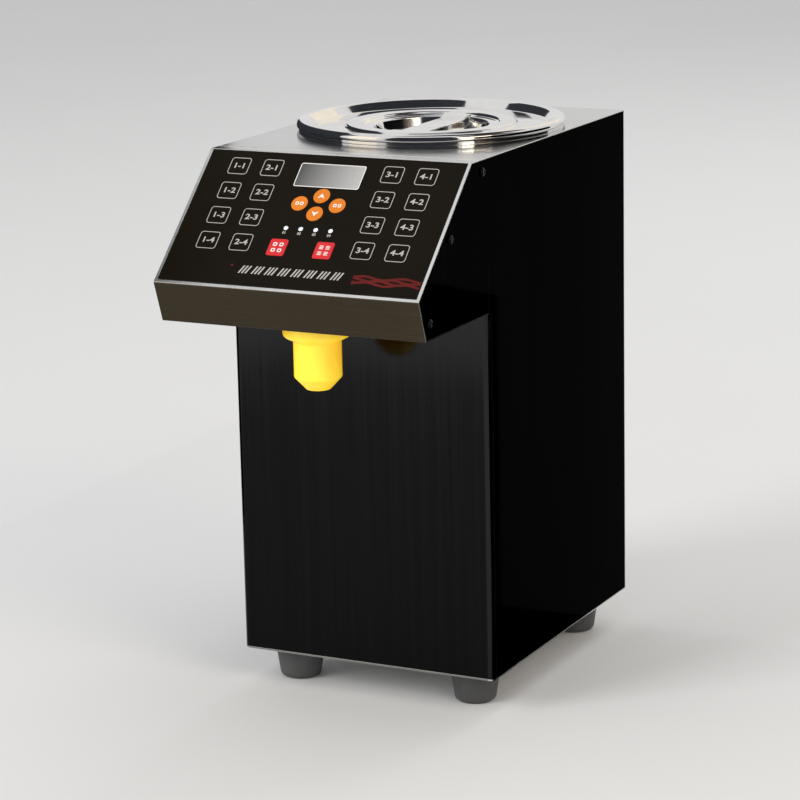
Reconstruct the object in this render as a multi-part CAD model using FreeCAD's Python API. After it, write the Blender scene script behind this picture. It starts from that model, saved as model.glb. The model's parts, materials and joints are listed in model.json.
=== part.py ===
"""Tabletop fructose dispenser: a sheet-metal casing with a sloped keypad hood, a drop-in
syrup tank with a lift-off lid, a motor-driven gear pump and a nozzle under the hood.

Frame: X to the machine's right as seen from its front, Y to its back, Z up.
Origin on the table, in the middle of the machine's footprint. Millimetres.
"""
import FreeCAD, Part
import math
import os

V = FreeCAD.Vector

# ------------------------------------------------------------------ casing sizes
body_width = 240.0          # across the casing
body_depth = 290.0          # front panel's face to rear panel's face
body_height = 444.0         # base plate's underside to top plate's face
foot_height = 31.5
hood_reach = 127.5          # hood's foremost edge ahead of the front panel
top_reach = 27.0            # top plate's front edge ahead of the front panel
hood_drop = 94.7            # top plate's face down to the valance's upper edge
lip_height = 34.2           # valance, measured upright
lip_setback = 11.9          # valance's lower edge behind its upper one
sheet = 1.0                 # casing sheet
side_sheet = 1.0            # side panels and cheeks
seam = 0.3                  # gap between a cheek and its side panel
lap = 0.1                   # gap between a flange and the sheet it is screwed to
flange_depth = 15.0
flange_inset = 20.0         # a flange's end to the fold it runs towards
base_lip_height = 1.6       # bare front edge of the base plate, below the front panel

# ------------------------------------------------------------------ fasteners and feet
screw_radius = 2.0          # M4
screw_length = 8.0
head_radius = 3.6
head_height = 2.4
screw_clearance = 0.2
cheek_screw_inset = 10.0    # screw to the nearest edge of the hood's profile
top_screw_along = 17.6      # screw to the top plate's front edge
lip_screw_along = 11.6      # screw to the valance's lower edge
foot_radius = 22.0          # at the base plate
foot_tip_radius = 17.5      # at the table
foot_edge = 3.0
foot_recess_depth = 12.0
foot_inset_x = 35.0         # foot's centre to the casing's side
foot_inset_y = 38.0         # foot's centre to the front panel and to the rear panel
foot_screw_radius = 2.5     # M5
foot_head_radius = 4.8
foot_head_height = 3.0
foot_head_gap = 0.8         # screw's head to the wall of its recess
foot_nut_radius = 4.6
foot_nut_height = 4.0

# ------------------------------------------------------------------ keypad, on the slope
# u runs to the right from the panel's middle, v down the slope from its upper edge.
bezel = 3.0                 # bare border of the sloped panel
film_top_border = 1.0
film_thickness = 0.5
key_rise = 0.25             # key's face above the film's
key_depth = 0.1             # key's back below the film's
key_travel = 0.4
key_gap = 0.08              # key to the film round it
aperture_gap = 0.3          # key to the opening behind it
key_width = 19.0
key_height = 17.5
key_corner = 3.0
key_columns = (-85.9, -55.2, 55.2, 85.9)
key_row_first = 17.1
key_row_pitch = 25.4
key_rows = 4
arrow_radius = 7.2
arrow_keys = {"key_up": (0.0, 42.3), "key_down": (0.0, 60.3),
              "key_left": (-17.2, 51.0), "key_right": (17.2, 51.0)}
function_width = 16.0
function_height = 16.5
function_corner = 2.0
function_keys = {"key_power": (-21.0, 95.7), "key_clean": (21.0, 95.7)}
window_width = 59.0
window_height = 23.2
window_corner = 1.5
window_v = 21.9
window_gap = 0.1
led_columns = (-20.3, -6.8, 6.8, 20.3)
led_v = 76.2
led_radius = 2.0
led_hole_gap = 0.3

# ------------------------------------------------------------------ control board
board_depth = 6.0           # panel's face to the board's face
board_thickness = 1.6
board_inset = 16.0          # board's edge to the casing's side
board_top = 5.0
board_bottom = 112.0
stud_radius = 2.5
stud_inset = 3.0
switch_size = 6.0
switch_height = 3.4
plunger_radius = 1.7
plunger_gap = 0.05          # plunger to a key pressed home
led_gap = 0.2
display_width = 68.0
display_top = 7.0
display_bottom = 37.4
display_gap = 0.1
chip_size = 14.0
chip_height = 2.4

# ------------------------------------------------------------------ tank and lid
tank_side_gap = 20.0        # tank's inner wall to the casing's side
tank_sheet = 0.8
machine_space = 185.0       # base plate's underside to the tank's floor
tank_flange_width = 13.0
tank_curl_radius = 1.4
tank_hole_gap = 1.0         # tank's wall to the top plate's hole
lid_sheet = 0.8
lid_overhang = 2.5          # lid's bead outside the tank's flange
lid_seat_gap = 0.3          # lid over the tank's flange
lid_skirt_foot = 3.4        # bead's lower edge over the top plate
lid_bead_height = 9.0       # bead's top over the top plate
lid_bead_width = 7.5
lid_bead_outer_round = 3.9
lid_bead_inner_round = 6.0
lid_ridge_radius = 73.0     # ridge's outer edge
lid_ridge_width = 13.0
lid_ridge_height = 4.8
lid_ridge_run = 1.5         # how far each steep side of the ridge reaches out
lid_ledge_height = 2.2
lid_dish_radius = 50.0
lid_dish_floor_radius = 46.5
lid_dish_floor = -14.0
lid_round = 2.2
spigot_gap = 0.8            # lid's spigot inside the tank's mouth
spigot_depth = 6.0
strap_width = 24.0
strap_sheet = 1.5
strap_foot = 6.0            # strap's flat end on the ledge
strap_drop = 2.7            # strap's middle below its ends
strap_ramp = 8.0
heater_gap = 0.2
heater_thickness = 2.0
heater_height = 80.0
heater_above_floor = 15.0
heater_slot = 8.0
outlet_hole_radius = 5.0
outlet_flange_radius = 11.0
outlet_flange_height = 2.0
outlet_nut_radius = 10.0
outlet_nut_height = 8.0
fitting_gap = 0.1

# ------------------------------------------------------------------ hoses
hose_radius = 6.0
hose_bore_radius = 4.0
barb_gap = 0.05
barb_length = 12.0
flow_radius = 2.6           # bore of every fitting
boss_radius = 7.5
boss_length = 5.0
hose_end_gap = 0.5          # hose's end to the boss
hose_corner_gap = 0.5       # discharge hose's bend to the hood floor's rear edge
clamp_gap = 0.05
clamp_thickness = 1.0
clamp_width = 7.0
clamp_offset = 6.0          # clamp's middle to the hose's end
clamp_block = 6.0

# ------------------------------------------------------------------ gear pump and motor
gear_teeth = 14
gear_module = 1.5
gear_width = 14.0
gear_backlash = 0.35
addendum_share = 0.9        # tooth height over the pitch circle, in modules
dedendum_share = 1.25
pressure_angle = math.radians(20)
gear_tip_gap = 0.3
gear_side_gap = 0.2
shaft_radius = 4.0
shaft_gap = 0.08
shaft_end_gap = 1.0
pump_wall = 6.0
pump_bearing_wall = 9.0
pump_cover_thickness = 8.0
cover_bearing_depth = 5.0
pump_port_height = 62.0     # base plate's face to the ports
bracket_sheet = 2.5
bracket_half_depth = 27.0
bracket_foot = 40.0
motor_radius = 25.0
motor_length = 74.0
motor_cap_length = 8.0
motor_pilot_radius = 11.0
motor_shaft_depth = 12.0
pilot_gap = 0.2

# ------------------------------------------------------------------ nozzle, below the hood
nozzle_ahead = 72.5         # nozzle's axis ahead of the front panel
nozzle_flange_radius = 28.3
nozzle_flange_height = 12.8
nozzle_shoulder = 6.0
nozzle_radius = 19.8
nozzle_barrel_foot = 46.0   # hood floor down to the barrel's lower end
nozzle_length = 56.5
nozzle_tip_radius = 10.0
nozzle_bore_radius = 7.0
nozzle_chamber_radius = 15.5
nozzle_roof = 6.0
neck_radius = 12.0
neck_height = 16.0
neck_gap = 0.1
elbow_nut_radius = 20.0
elbow_nut_height = 8.0
elbow_radius = 16.0
elbow_height = 32.0
elbow_port_height = 24.0

# ------------------------------------------------------------------ electrics
supply_width = 98.0
supply_depth = 110.0
supply_height = 42.0
supply_rear_gap = 14.0
supply_ear = 9.0
supply_ear_thickness = 1.5
supply_wall = 1.5
terminal_height = 18.0
terminal_depth = 14.0
rear_fitting_height = 95.0  # base plate's underside to inlet and switch
inlet_x = -70.0
inlet_flange_width = 50.0
inlet_flange_height = 24.0
inlet_flange = 2.5
inlet_body_width = 28.0
inlet_body_height = 20.0
inlet_body_depth = 22.0
inlet_socket_width = 24.4
inlet_socket_height = 16.4
inlet_socket_depth = 16.0
inlet_screw_pitch = 40.0
inlet_gap = 0.2
pin_width = 2.0
pin_height = 4.0
pin_setback = 3.0
live_pin_x = 7.0
live_pin_z = 2.5
earth_pin_z = -2.5
switch_x = -22.0
switch_flange_width = 24.0
switch_flange_height = 33.0
switch_flange = 2.5
switch_body_width = 21.0
switch_body_height = 30.0
switch_body_depth = 22.0
rocker_width = 16.0
rocker_half_height = 12.2
rocker_stand = 1.4          # rocker's edges outside the switch's flange
rocker_valley = 1.6         # its middle below its edges
rocker_depth = 9.0
rocker_tilt = 7.0           # degrees each side of level
rocker_side_gap = 0.4
rocker_well_gap = 1.8
rocker_pin_radius = 1.5
rocker_pin_length = 1.4
vent_slot_length = 56.0
vent_slot_width = 4.0
vent_pitch = 11.0
vent_count = 7
vent_x = 52.0
vent_height = 250.0         # base plate's underside to the middle slot
base_vent_gap = 12.0        # base slots to the power supply

# ------------------------------------------------------------------ derived places
rear_stand = inlet_flange + head_height
y_front = (hood_reach - body_depth - rear_stand) / 2
y_rear = y_front + body_depth
y_tip = y_front - hood_reach
z_base = foot_height
z_top = z_base + body_height
z_lip = z_top - hood_drop
z_hood = z_lip - lip_height
z_deck = z_base + sheet
half_width = body_width / 2
side_inner = half_width - side_sheet
y_seam = y_front + sheet
tank_y = (y_front + y_rear) / 2
tank_radius = half_width - tank_side_gap
tank_outer = tank_radius + tank_sheet
tank_floor = z_base + machine_space
tank_flange_radius = tank_radius + tank_flange_width
nozzle_y = y_front - nozzle_ahead
port_z = z_deck + pump_port_height
elbow_z = z_hood + sheet + elbow_port_height
hose_y = (y_front + sheet + tank_y - tank_outer) / 2
pump_y = (hose_y + tank_y) / 2
pitch_radius = gear_module * gear_teeth / 2
tip_radius = pitch_radius + addendum_share * gear_module
gear_bore = tip_radius + gear_tip_gap
pump_half_depth = gear_bore + pump_wall
pump_half_height = pitch_radius + gear_bore + pump_wall
drive_z = port_z - pitch_radius
driven_z = port_z + pitch_radius
pump_face = -gear_width / 2 - gear_side_gap
cavity_end = gear_width / 2 + gear_side_gap
pump_back = cavity_end + pump_bearing_wall
bracket_face = pump_back + bracket_sheet
barb_radius = hose_bore_radius - barb_gap
screw_hole = screw_radius + screw_clearance
foot_recess_radius = foot_head_radius + foot_head_gap
inlet_z = z_base + rear_fitting_height

# The casing's side profile as (y, z), clockwise seen from +X. Its edges, in order:
LIP, PANEL, TOP, REAR, BASE, FRONT, HOOD = range(7)
profile = [
    (y_tip + lip_setback, z_hood),
    (y_tip, z_lip),
    (y_front - top_reach, z_top),
    (y_rear, z_top),
    (y_rear, z_base),
    (y_front, z_base),
    (y_front, z_hood),
]
slope_length = math.dist(profile[PANEL], profile[TOP])
slope_angle = math.degrees(math.atan2(hood_drop, hood_reach - top_reach))


# ------------------------------------------------------------------ shape helpers
def box(x0, x1, y0, y1, z0, z1):
    """A block between two opposite corners."""
    return Part.makeBox(abs(x1 - x0), y1 - y0, z1 - z0, V(min(x0, x1), y0, z0))


def rod(radius, start, end):
    """A round bar between two points."""
    along = end - start
    return Part.makeCylinder(radius, along.Length, start, along)


def line(start, end):
    return Part.LineSegment(start, end).toShape()


def corner_arc(before, corner, after, radius):
    """Start, middle and end of the arc that rounds a corner."""
    back = (before - corner).normalize()
    ahead = (after - corner).normalize()
    half = back.getAngle(ahead) / 2
    bisector = (back + ahead).normalize()
    middle = corner + bisector * (radius / math.sin(half) - radius)
    setback = radius / math.tan(half)
    return corner + back * setback, middle, corner + ahead * setback


def rounded_edges(points, radii):
    """Straight edges along the points, with an arc at each inner point that has a radius."""
    edges = []
    start = points[0]
    for before, corner, after, radius in zip(points, points[1:], points[2:], radii):
        first, last = corner, corner
        if radius > 0:
            first, middle, last = corner_arc(before, corner, after, radius)
        if (first - start).Length > 1e-6:
            edges.append(line(start, first))
        if radius > 0:
            edges.append(Part.Arc(first, middle, last).toShape())
        start = last
    edges.append(line(start, points[-1]))
    return edges


def offset_path(points, distance):
    """An open path in the XZ plane, moved to its right by distance."""
    normals = []
    for start, end in zip(points, points[1:]):
        along = (end - start).normalize()
        normals.append(V(along.z, 0, -along.x))
    moved = [points[0] + normals[0] * distance]
    for point, first, second in zip(points[1:], normals, normals[1:]):
        moved.append(point + (first + second) * (distance / (1 + first.dot(second))))
    moved.append(points[-1] + normals[-1] * distance)
    return moved


def sheet_face(points, radii, thickness):
    """A sheet's section in the XZ plane: a path with rounded corners and its right side."""
    other_radii = []
    for before, corner, after, radius in zip(points, points[1:], points[2:], radii):
        turn = (corner - before).cross(after - corner).y
        other_radii.append(radius + math.copysign(thickness, -turn))
    other = offset_path(points, thickness)
    edges = rounded_edges(points, radii)
    edges.append(line(points[-1], other[-1]))
    edges += rounded_edges(other, other_radii)[::-1]
    edges.append(line(other[0], points[0]))
    return Part.Face(Part.Wire(Part.__sortEdges__(edges)))


def turned(face, x, y, z):
    """A section in the XZ plane turned round Z, with its axis at x, y and its zero at z."""
    solid = face.revolve(V(0, 0, 0), V(0, 0, 1), 360)
    solid.translate(V(x, y, z))
    return solid


def polygon_face(points):
    return Part.Face(Part.makePolygon(list(points) + [points[0]]))


def profile_face(radius_height):
    """A turned piece's section from (radius, height) pairs."""
    return polygon_face([V(radius, 0, height) for radius, height in radius_height])


def across(points, x0, x1):
    """An outline of (y, z) points, extruded from x0 to x1."""
    face = polygon_face([V(x0, y, z) for y, z in points])
    return face.extrude(V(x1 - x0, 0, 0))


def rounded_block(width, height, corner, u, v, low, high):
    """A block with rounded corners in the panel's own frame, centred at u, v."""
    x, y = width / 2, height / 2
    corners = [V(0, -y, low), V(x, -y, low), V(x, y, low), V(-x, y, low), V(-x, -y, low)]
    outline = Part.Wire(rounded_edges(corners + [V(0, -y, low)], [corner] * 4))
    block = Part.Face(outline).extrude(V(0, 0, high - low))
    block.translate(V(u, -v, 0))
    return block


def on_slope(shape):
    """Moves a shape from the panel's own frame (u, -v, height) to its place."""
    shape.rotate(V(0, 0, 0), V(1, 0, 0), slope_angle)
    shape.translate(V(0, *profile[TOP]))
    return shape


def pipe(points, radius, bends):
    """A solid round bar along straight runs joined by arcs."""
    path = Part.Wire(rounded_edges(points, bends))
    along = points[1] - points[0]
    section = Part.Wire(Part.Circle(points[0], along, radius).toShape())
    return path.makePipeShell([section], True, True)


# ------------------------------------------------------------------ casing helpers
def inward(edge):
    """Unit direction along a profile edge, and the one into the casing."""
    (y0, z0), (y1, z1) = profile[edge], profile[(edge + 1) % len(profile)]
    length = math.hypot(y1 - y0, z1 - z0)
    along = ((y1 - y0) / length, (z1 - z0) / length)
    return along, (along[1], -along[0]), length


def inner_corner(index):
    """The profile's corner, moved in by the sheet's thickness on both sides."""
    _, first, _ = inward((index - 1) % len(profile))
    _, second, _ = inward(index)
    share = sheet / (1 + first[0] * second[0] + first[1] * second[1])
    y, z = profile[index]
    return y + (first[0] + second[0]) * share, z + (first[1] + second[1]) * share


def profile_point(edge, along_edge, depth):
    """A point on a profile edge, moved into the casing by depth."""
    along, into, _ = inward(edge)
    y, z = profile[edge]
    return (y + along[0] * along_edge + into[0] * depth,
            z + along[1] * along_edge + into[1] * depth)


def casing_plate(edge):
    """The full-width sheet on one edge of the profile, mitred to its neighbours."""
    after = (edge + 1) % len(profile)
    outline = [profile[edge], profile[after], inner_corner(after), inner_corner(edge)]
    return across(outline, -half_width, half_width)


def side_flanges(edge, start, end):
    """A pair of flanges turned in along a casing sheet's two sides."""
    outline = [
        profile_point(edge, start, sheet),
        profile_point(edge, end, sheet),
        profile_point(edge, end, flange_depth),
        profile_point(edge, start, flange_depth),
    ]
    outer = side_inner - lap
    return [across(outline, side * (outer - sheet), side * outer) for side in (-1, 1)]


def flanged_plate(edge, start=flange_inset, end=None):
    """A casing sheet with its two side flanges."""
    _, _, length = inward(edge)
    last = length - flange_inset if end is None else end
    return casing_plate(edge).fuse(side_flanges(edge, start, last)).removeSplitter()


def cheek_screw_places():
    """The three (y, z) places of a cheek's screws."""
    return [
        profile_point(TOP, top_screw_along, cheek_screw_inset),
        profile_point(PANEL, slope_length / 2, cheek_screw_inset),
        profile_point(LIP, lip_screw_along, cheek_screw_inset),
    ]


def cheek_screw_holes():
    """Bars through both cheeks at their screws."""
    return [rod(screw_hole, V(-half_width, y, z), V(half_width, y, z))
            for y, z in cheek_screw_places()]


def flange_screw_x():
    return side_inner - flange_depth / 2


def rear_screw_places():
    """The (x, z) places of the rear panel's screws."""
    low = z_base + 2 * flange_inset
    high = z_top - 2 * flange_inset
    return [(side * flange_screw_x(), z)
            for side in (-1, 1) for z in (low, (low + high) / 2, high)]


def base_screw_places():
    """The (x, y) places of the base plate's screws."""
    return [(side * flange_screw_x(), y)
            for side in (-1, 1) for y in (y_front + 2 * foot_inset_y, y_rear - 2 * foot_inset_y)]


def foot_places():
    return [(x, y) for x in (foot_inset_x - half_width, half_width - foot_inset_x)
            for y in (y_front + foot_inset_y, y_rear - foot_inset_y)]


# ------------------------------------------------------------------ casing
def base_lip():
    """The base plate's turned-up front edge, which the front panel stands on."""
    return box(-half_width, half_width, y_front, y_front + sheet,
               z_base, z_base + base_lip_height)


def front_panel():
    _, _, length = inward(FRONT)
    return flanged_plate(FRONT, flange_inset, length - sheet).cut(base_lip())


def top_plate():
    plate = flanged_plate(TOP, sheet + flange_depth / 2)
    centre = V(0, tank_y, z_top)
    mouth = rod(tank_outer + tank_hole_gap, centre - V(0, 0, sheet), centre)
    return plate.cut([mouth] + cheek_screw_holes())


def base_plate():
    plate = casing_plate(BASE).fuse(base_lip()).removeSplitter()
    cuts = []
    for x, y in foot_places():
        cuts.append(rod(foot_screw_radius + screw_clearance, V(x, y, z_base), V(x, y, z_deck)))
    for x, y in base_screw_places() + bracket_screw_places():
        cuts.append(rod(screw_hole, V(x, y, z_base), V(x, y, z_deck)))
    for x, y in supply_screw_places():
        cuts.append(rod(screw_hole, V(x, y, z_base), V(x, y, z_deck)))
    half_slot = vent_slot_length / 2
    for index in range(vent_count):
        y = supply_front() - base_vent_gap - index * vent_pitch
        cuts.append(box(-half_slot - vent_x, half_slot - vent_x,
                        y - vent_slot_width, y, z_base, z_deck))
    return plate.cut(cuts)


def rear_panel():
    plate = casing_plate(REAR)
    cuts = []
    for x, z in rear_screw_places():
        cuts.append(rod(screw_hole, V(x, y_rear - sheet, z), V(x, y_rear, z)))
    for x in inlet_screw_xs():
        cuts.append(rod(screw_hole, V(x, y_rear - sheet, inlet_z), V(x, y_rear, inlet_z)))
    for x, width, height in ((inlet_x, inlet_body_width, inlet_body_height),
                             (switch_x, switch_body_width, switch_body_height)):
        half_x = width / 2 + inlet_gap
        half_z = height / 2 + inlet_gap
        cuts.append(box(x - half_x, x + half_x, y_rear - sheet, y_rear,
                        inlet_z - half_z, inlet_z + half_z))
    for side in (-1, 1):
        for index in range(vent_count):
            z = z_base + vent_height + (index - (vent_count - 1) / 2) * vent_pitch
            cuts.append(vent_slot(side * vent_x, z))
    return plate.cut(cuts)


def vent_slot(x, z):
    """A level slot with round ends through the rear panel."""
    radius = vent_slot_width / 2
    half = vent_slot_length / 2 - radius
    near, far = y_rear - sheet, y_rear
    slot = box(x - half, x + half, near, far, z - radius, z + radius)
    ends = [rod(radius, V(x + end, near, z), V(x + end, far, z)) for end in (-half, half)]
    return slot.fuse(ends)


def side_panel(side):
    """A side panel with flanges turned in along its rear and its foot."""
    low, high = z_deck, z_top - sheet
    rear = y_rear - sheet
    outer, inner = side * half_width, side * side_inner
    turn = side * (side_inner - flange_depth)
    wall = across([(y_seam, low), (rear, low), (rear, high), (y_seam, high)], inner, outer)
    back = across([(rear - side_sheet, low + flange_inset), (rear, low + flange_inset),
                   (rear, high - flange_inset), (rear - side_sheet, high - flange_inset)],
                  turn, inner)
    foot = across([(y_seam + flange_inset, low), (rear - flange_inset, low),
                   (rear - flange_inset, low + side_sheet),
                   (y_seam + flange_inset, low + side_sheet)], turn, inner)
    holes = [rod(screw_hole, V(x, rear - side_sheet, z), V(x, rear, z))
             for x, z in rear_screw_places()]
    holes += [rod(screw_hole, V(x, y, low), V(x, y, low + side_sheet))
              for x, y in base_screw_places()]
    return wall.fuse([back, foot]).removeSplitter().cut(holes)


def cheek(side):
    """The hood's side: the profile ahead of the seam, inside the casing's sheets."""
    rear = y_seam - seam
    outline = [inner_corner(LIP), inner_corner(PANEL), inner_corner(TOP),
               (rear, z_top - sheet), (rear, z_hood + sheet)]
    return across(outline, side * side_inner, side * half_width).cut(cheek_screw_holes())


def hood_floor():
    hole = rod(neck_radius + neck_gap, V(0, nozzle_y, z_hood), V(0, nozzle_y, z_hood + sheet))
    return casing_plate(HOOD).cut(hole)


def lip_valance():
    _, _, length = inward(LIP)
    return flanged_plate(LIP, sheet, length - flange_depth / 2).cut(cheek_screw_holes())


# ------------------------------------------------------------------ keypad
def number_keys():
    """Name and (u, v) of each numbered key: block column first, then row."""
    places = {}
    for column, u in enumerate(key_columns, 1):
        for row in range(1, key_rows + 1):
            places[f"key_{column}_{row}"] = (u, key_row_first + (row - 1) * key_row_pitch)
    return places


def key_blank(name, grow, low, high):
    """A key's outline, grown by a gap, as a block in the panel's frame."""
    if name in arrow_keys:
        u, v = arrow_keys[name]
        return rod(arrow_radius + grow, V(u, -v, low), V(u, -v, high))
    if name in function_keys:
        u, v = function_keys[name]
        width, height, corner = function_width, function_height, function_corner
    else:
        u, v = number_keys()[name]
        width, height, corner = key_width, key_height, key_corner
    return rounded_block(width + 2 * grow, height + 2 * grow, corner + grow, u, v, low, high)


def key_names():
    return list(number_keys()) + list(arrow_keys) + list(function_keys)


def key(name):
    """A key: a raised pad of film that sinks into the panel's opening when pressed."""
    pad = key_blank(name, 0, -key_depth, film_thickness + key_rise)
    return on_slope(pad)


def window_blank(grow, low, high):
    return rounded_block(window_width + 2 * grow, window_height + 2 * grow,
                         window_corner + grow, 0, window_v, low, high)


def panel_frame():
    _, _, length = inward(PANEL)
    plate = flanged_plate(PANEL, flange_inset, length - flange_inset)
    openings = [key_blank(name, aperture_gap, -sheet, 0) for name in key_names()]
    openings.append(window_blank(window_gap, -sheet, 0))
    openings += [rod(led_radius + led_hole_gap, V(u, -led_v, -sheet), V(u, -led_v, 0))
                 for u in led_columns]
    plate = plate.cut([on_slope(opening) for opening in openings] + cheek_screw_holes())
    studs = [on_slope(rod(stud_radius, V(u, -v, -board_depth), V(u, -v, -sheet)))
             for u, v in stud_places()]
    return plate.fuse(studs)


def keypad_film():
    half = half_width - bezel
    film = box(-half, half, bezel - slope_length, -film_top_border, 0, film_thickness)
    openings = [key_blank(name, key_gap, 0, film_thickness) for name in key_names()]
    openings.append(window_blank(window_gap, 0, film_thickness))
    return on_slope(film.cut(openings))


def display_window():
    return on_slope(window_blank(0, -sheet, film_thickness))


# ------------------------------------------------------------------ control board
def board_half():
    return half_width - board_inset


def stud_places():
    u = board_half() - stud_inset
    return [(side * u, v) for side in (-1, 1)
            for v in (board_top + stud_inset, board_bottom - stud_inset)]


def tact_switch(u, v):
    """A push switch on the board, its plunger just under a key pressed home."""
    half = switch_size / 2
    tip = -key_depth - key_travel - plunger_gap
    case = box(u - half, u + half, -v - half, -v + half, -board_depth, switch_height - board_depth)
    return case.fuse(rod(plunger_radius, V(u, -v, -board_depth), V(u, -v, tip)))


def control_board():
    back = -board_depth - board_thickness
    board = box(-board_half(), board_half(), -board_bottom, -board_top, back, -board_depth)
    parts = [board]
    for name in key_names():
        centre = key_blank(name, 0, 0, 1).BoundBox.Center
        parts.append(tact_switch(centre.x, -centre.y))
    for u in led_columns:
        parts.append(rod(led_radius, V(u, -led_v, -board_depth), V(u, -led_v, -led_gap)))
    chip_low = back - chip_height
    chip_top = -board_bottom + chip_size
    parts.append(box(-chip_size / 2, chip_size / 2, chip_top, chip_top + chip_size, chip_low, back))
    for side in (-1, 1):
        u = side * board_half() / 2
        parts.append(box(u - chip_size, u + chip_size, chip_top, chip_top + chip_size / 2,
                         chip_low - chip_height, back))
    return on_slope(Part.makeCompound(parts))


def display_module():
    half = display_width / 2
    frame = box(-half, half, -display_bottom, -display_top,
                display_gap - board_depth, -sheet - display_gap)
    glass = window_blank(-window_corner, -sheet - 2 * display_gap, -sheet - display_gap)
    return on_slope(frame.fuse(glass).removeSplitter())


# ------------------------------------------------------------------ tank and lid
def tank():
    depth = z_top - tank_floor
    wall = profile_face([
        (0, -tank_sheet), (tank_outer, -tank_sheet), (tank_outer, depth),
        (tank_flange_radius, depth), (tank_flange_radius, depth + tank_sheet),
        (tank_radius, depth + tank_sheet), (tank_radius, 0), (0, 0),
    ])
    curl_centre = V(0, tank_y, z_top + tank_curl_radius)
    curl = Part.makeTorus(tank_flange_radius, tank_curl_radius, curl_centre)
    hole = rod(outlet_hole_radius, V(0, tank_y, tank_floor - tank_sheet), V(0, tank_y, tank_floor))
    return turned(wall, 0, tank_y, tank_floor).fuse(curl).cut(hole)


def lid_radius():
    return tank_flange_radius + tank_curl_radius + lid_overhang - lid_sheet


def tank_lid():
    """Lid: rolled bead, channel, ridge, ledge and a sunk dish, with a spigot below."""
    outer = lid_radius()
    seat = tank_sheet + lid_seat_gap + lid_sheet
    bead_inner = outer - lid_bead_width
    channel = bead_inner - lid_bead_height + seat
    ridge_inner = lid_ridge_radius - lid_ridge_width
    path = [
        (outer, lid_skirt_foot), (outer, lid_bead_height), (bead_inner, lid_bead_height),
        (channel, seat), (lid_ridge_radius + lid_ridge_run, seat),
        (lid_ridge_radius, lid_ridge_height), (ridge_inner, lid_ridge_height),
        (ridge_inner - lid_ridge_run, lid_ledge_height), (lid_dish_radius, lid_ledge_height),
        (lid_dish_floor_radius, lid_dish_floor), (0, lid_dish_floor),
    ]
    points = [V(radius, 0, height) for radius, height in path]
    radii = [lid_bead_outer_round, lid_bead_inner_round]
    radii += [lid_round] * (len(points) - 2 - len(radii))
    shell = turned(sheet_face(points[::-1], radii[::-1], lid_sheet), 0, tank_y, z_top)
    spigot_outer = tank_radius - spigot_gap
    spigot = profile_face([
        (spigot_outer - lid_sheet, -spigot_depth), (spigot_outer, -spigot_depth),
        (spigot_outer, seat - lid_sheet / 2), (spigot_outer - lid_sheet, seat - lid_sheet / 2),
    ])
    return shell.fuse(turned(spigot, 0, tank_y, z_top))


def lid_handle():
    """A grip strap across the dish: its flat ends rest on the ledge, its middle dips between."""
    end = lid_dish_radius + strap_foot
    foot = lid_dish_radius
    crown = foot - strap_ramp
    low = lid_ledge_height + strap_sheet
    middle = low - strap_drop
    points = [V(-end, 0, low), V(-foot, 0, low), V(-crown, 0, middle),
              V(crown, 0, middle), V(foot, 0, low), V(end, 0, low)]
    section = sheet_face(points, [lid_round] * 4, strap_sheet)
    strap = section.extrude(V(0, strap_width, 0))
    strap.translate(V(0, -strap_width / 2, 0))
    strap.rotate(V(0, 0, 0), V(0, 0, 1), 90)
    strap.translate(V(0, tank_y, z_top))
    return strap


def heater_band():
    low = tank_floor + heater_above_floor
    base = V(0, tank_y, low)
    top = V(0, tank_y, low + heater_height)
    inner = tank_outer + heater_gap
    band = rod(inner + heater_thickness, base, top).cut(rod(inner, base, top))
    slot = box(-heater_slot / 2, heater_slot / 2, tank_y, tank_y + inner + heater_thickness,
               low, low + heater_height)
    return band.cut(slot)


def outlet_foot():
    """Height of the lower end of the tank outlet's nut."""
    return tank_floor - tank_sheet - outlet_nut_height


def tank_outlet():
    neck = outlet_hole_radius - fitting_gap
    top = tank_floor + outlet_flange_height
    under = tank_floor - tank_sheet
    end = outlet_foot() - barb_length
    section = profile_face([
        (flow_radius, end), (barb_radius, end), (barb_radius, outlet_foot()),
        (outlet_nut_radius, outlet_foot()), (outlet_nut_radius, under), (neck, under),
        (neck, tank_floor), (outlet_flange_radius, tank_floor), (outlet_flange_radius, top),
        (flow_radius, top),
    ])
    return turned(section, 0, tank_y, 0)


# ------------------------------------------------------------------ hoses
def hose(points, widest=math.inf):
    """A hose along straight runs, each bend as large as the barbs leave room for."""
    bends = []
    last = len(points) - 2
    for index in range(1, len(points) - 1):
        before = (points[index] - points[index - 1]).Length
        after = (points[index + 1] - points[index]).Length
        before -= barb_length if index == 1 else before / 2
        after -= barb_length if index == last else after / 2
        bends.append(min(before, after, widest))
    return pipe(points, hose_radius, bends).cut(pipe(points, hose_bore_radius, bends))


def hose_ends():
    """Point and outward direction of each fitting that a hose is pushed on to."""
    reach = boss_length + hose_end_gap
    return {
        "tank": (V(0, tank_y, outlet_foot() - hose_end_gap), V(0, 0, -1)),
        "inlet": (V(0, pump_y + pump_half_depth + reach, port_z), V(0, 1, 0)),
        "outlet": (V(0, pump_y - pump_half_depth - reach, port_z), V(0, -1, 0)),
        "nozzle": (V(0, nozzle_y + elbow_radius + reach, elbow_z), V(0, 1, 0)),
    }


def supply_hose():
    ends = hose_ends()
    return hose([ends["tank"][0], V(0, tank_y, port_z), ends["inlet"][0]])


def bend_past_corner(back, above, clear):
    """Largest bend radius that stays clear of a corner inside the bend.

    The corner lies back from the upright run and above from the level one."""
    return back + above - clear + math.sqrt(2 * (back - clear) * (above - clear))


def discharge_hose():
    ends = hose_ends()
    widest = bend_past_corner(hose_y - y_front - sheet, elbow_z - z_hood - sheet,
                              hose_radius + hose_corner_gap)
    return hose([ends["outlet"][0], V(0, hose_y, port_z), V(0, hose_y, elbow_z),
                 ends["nozzle"][0]], widest)


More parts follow.
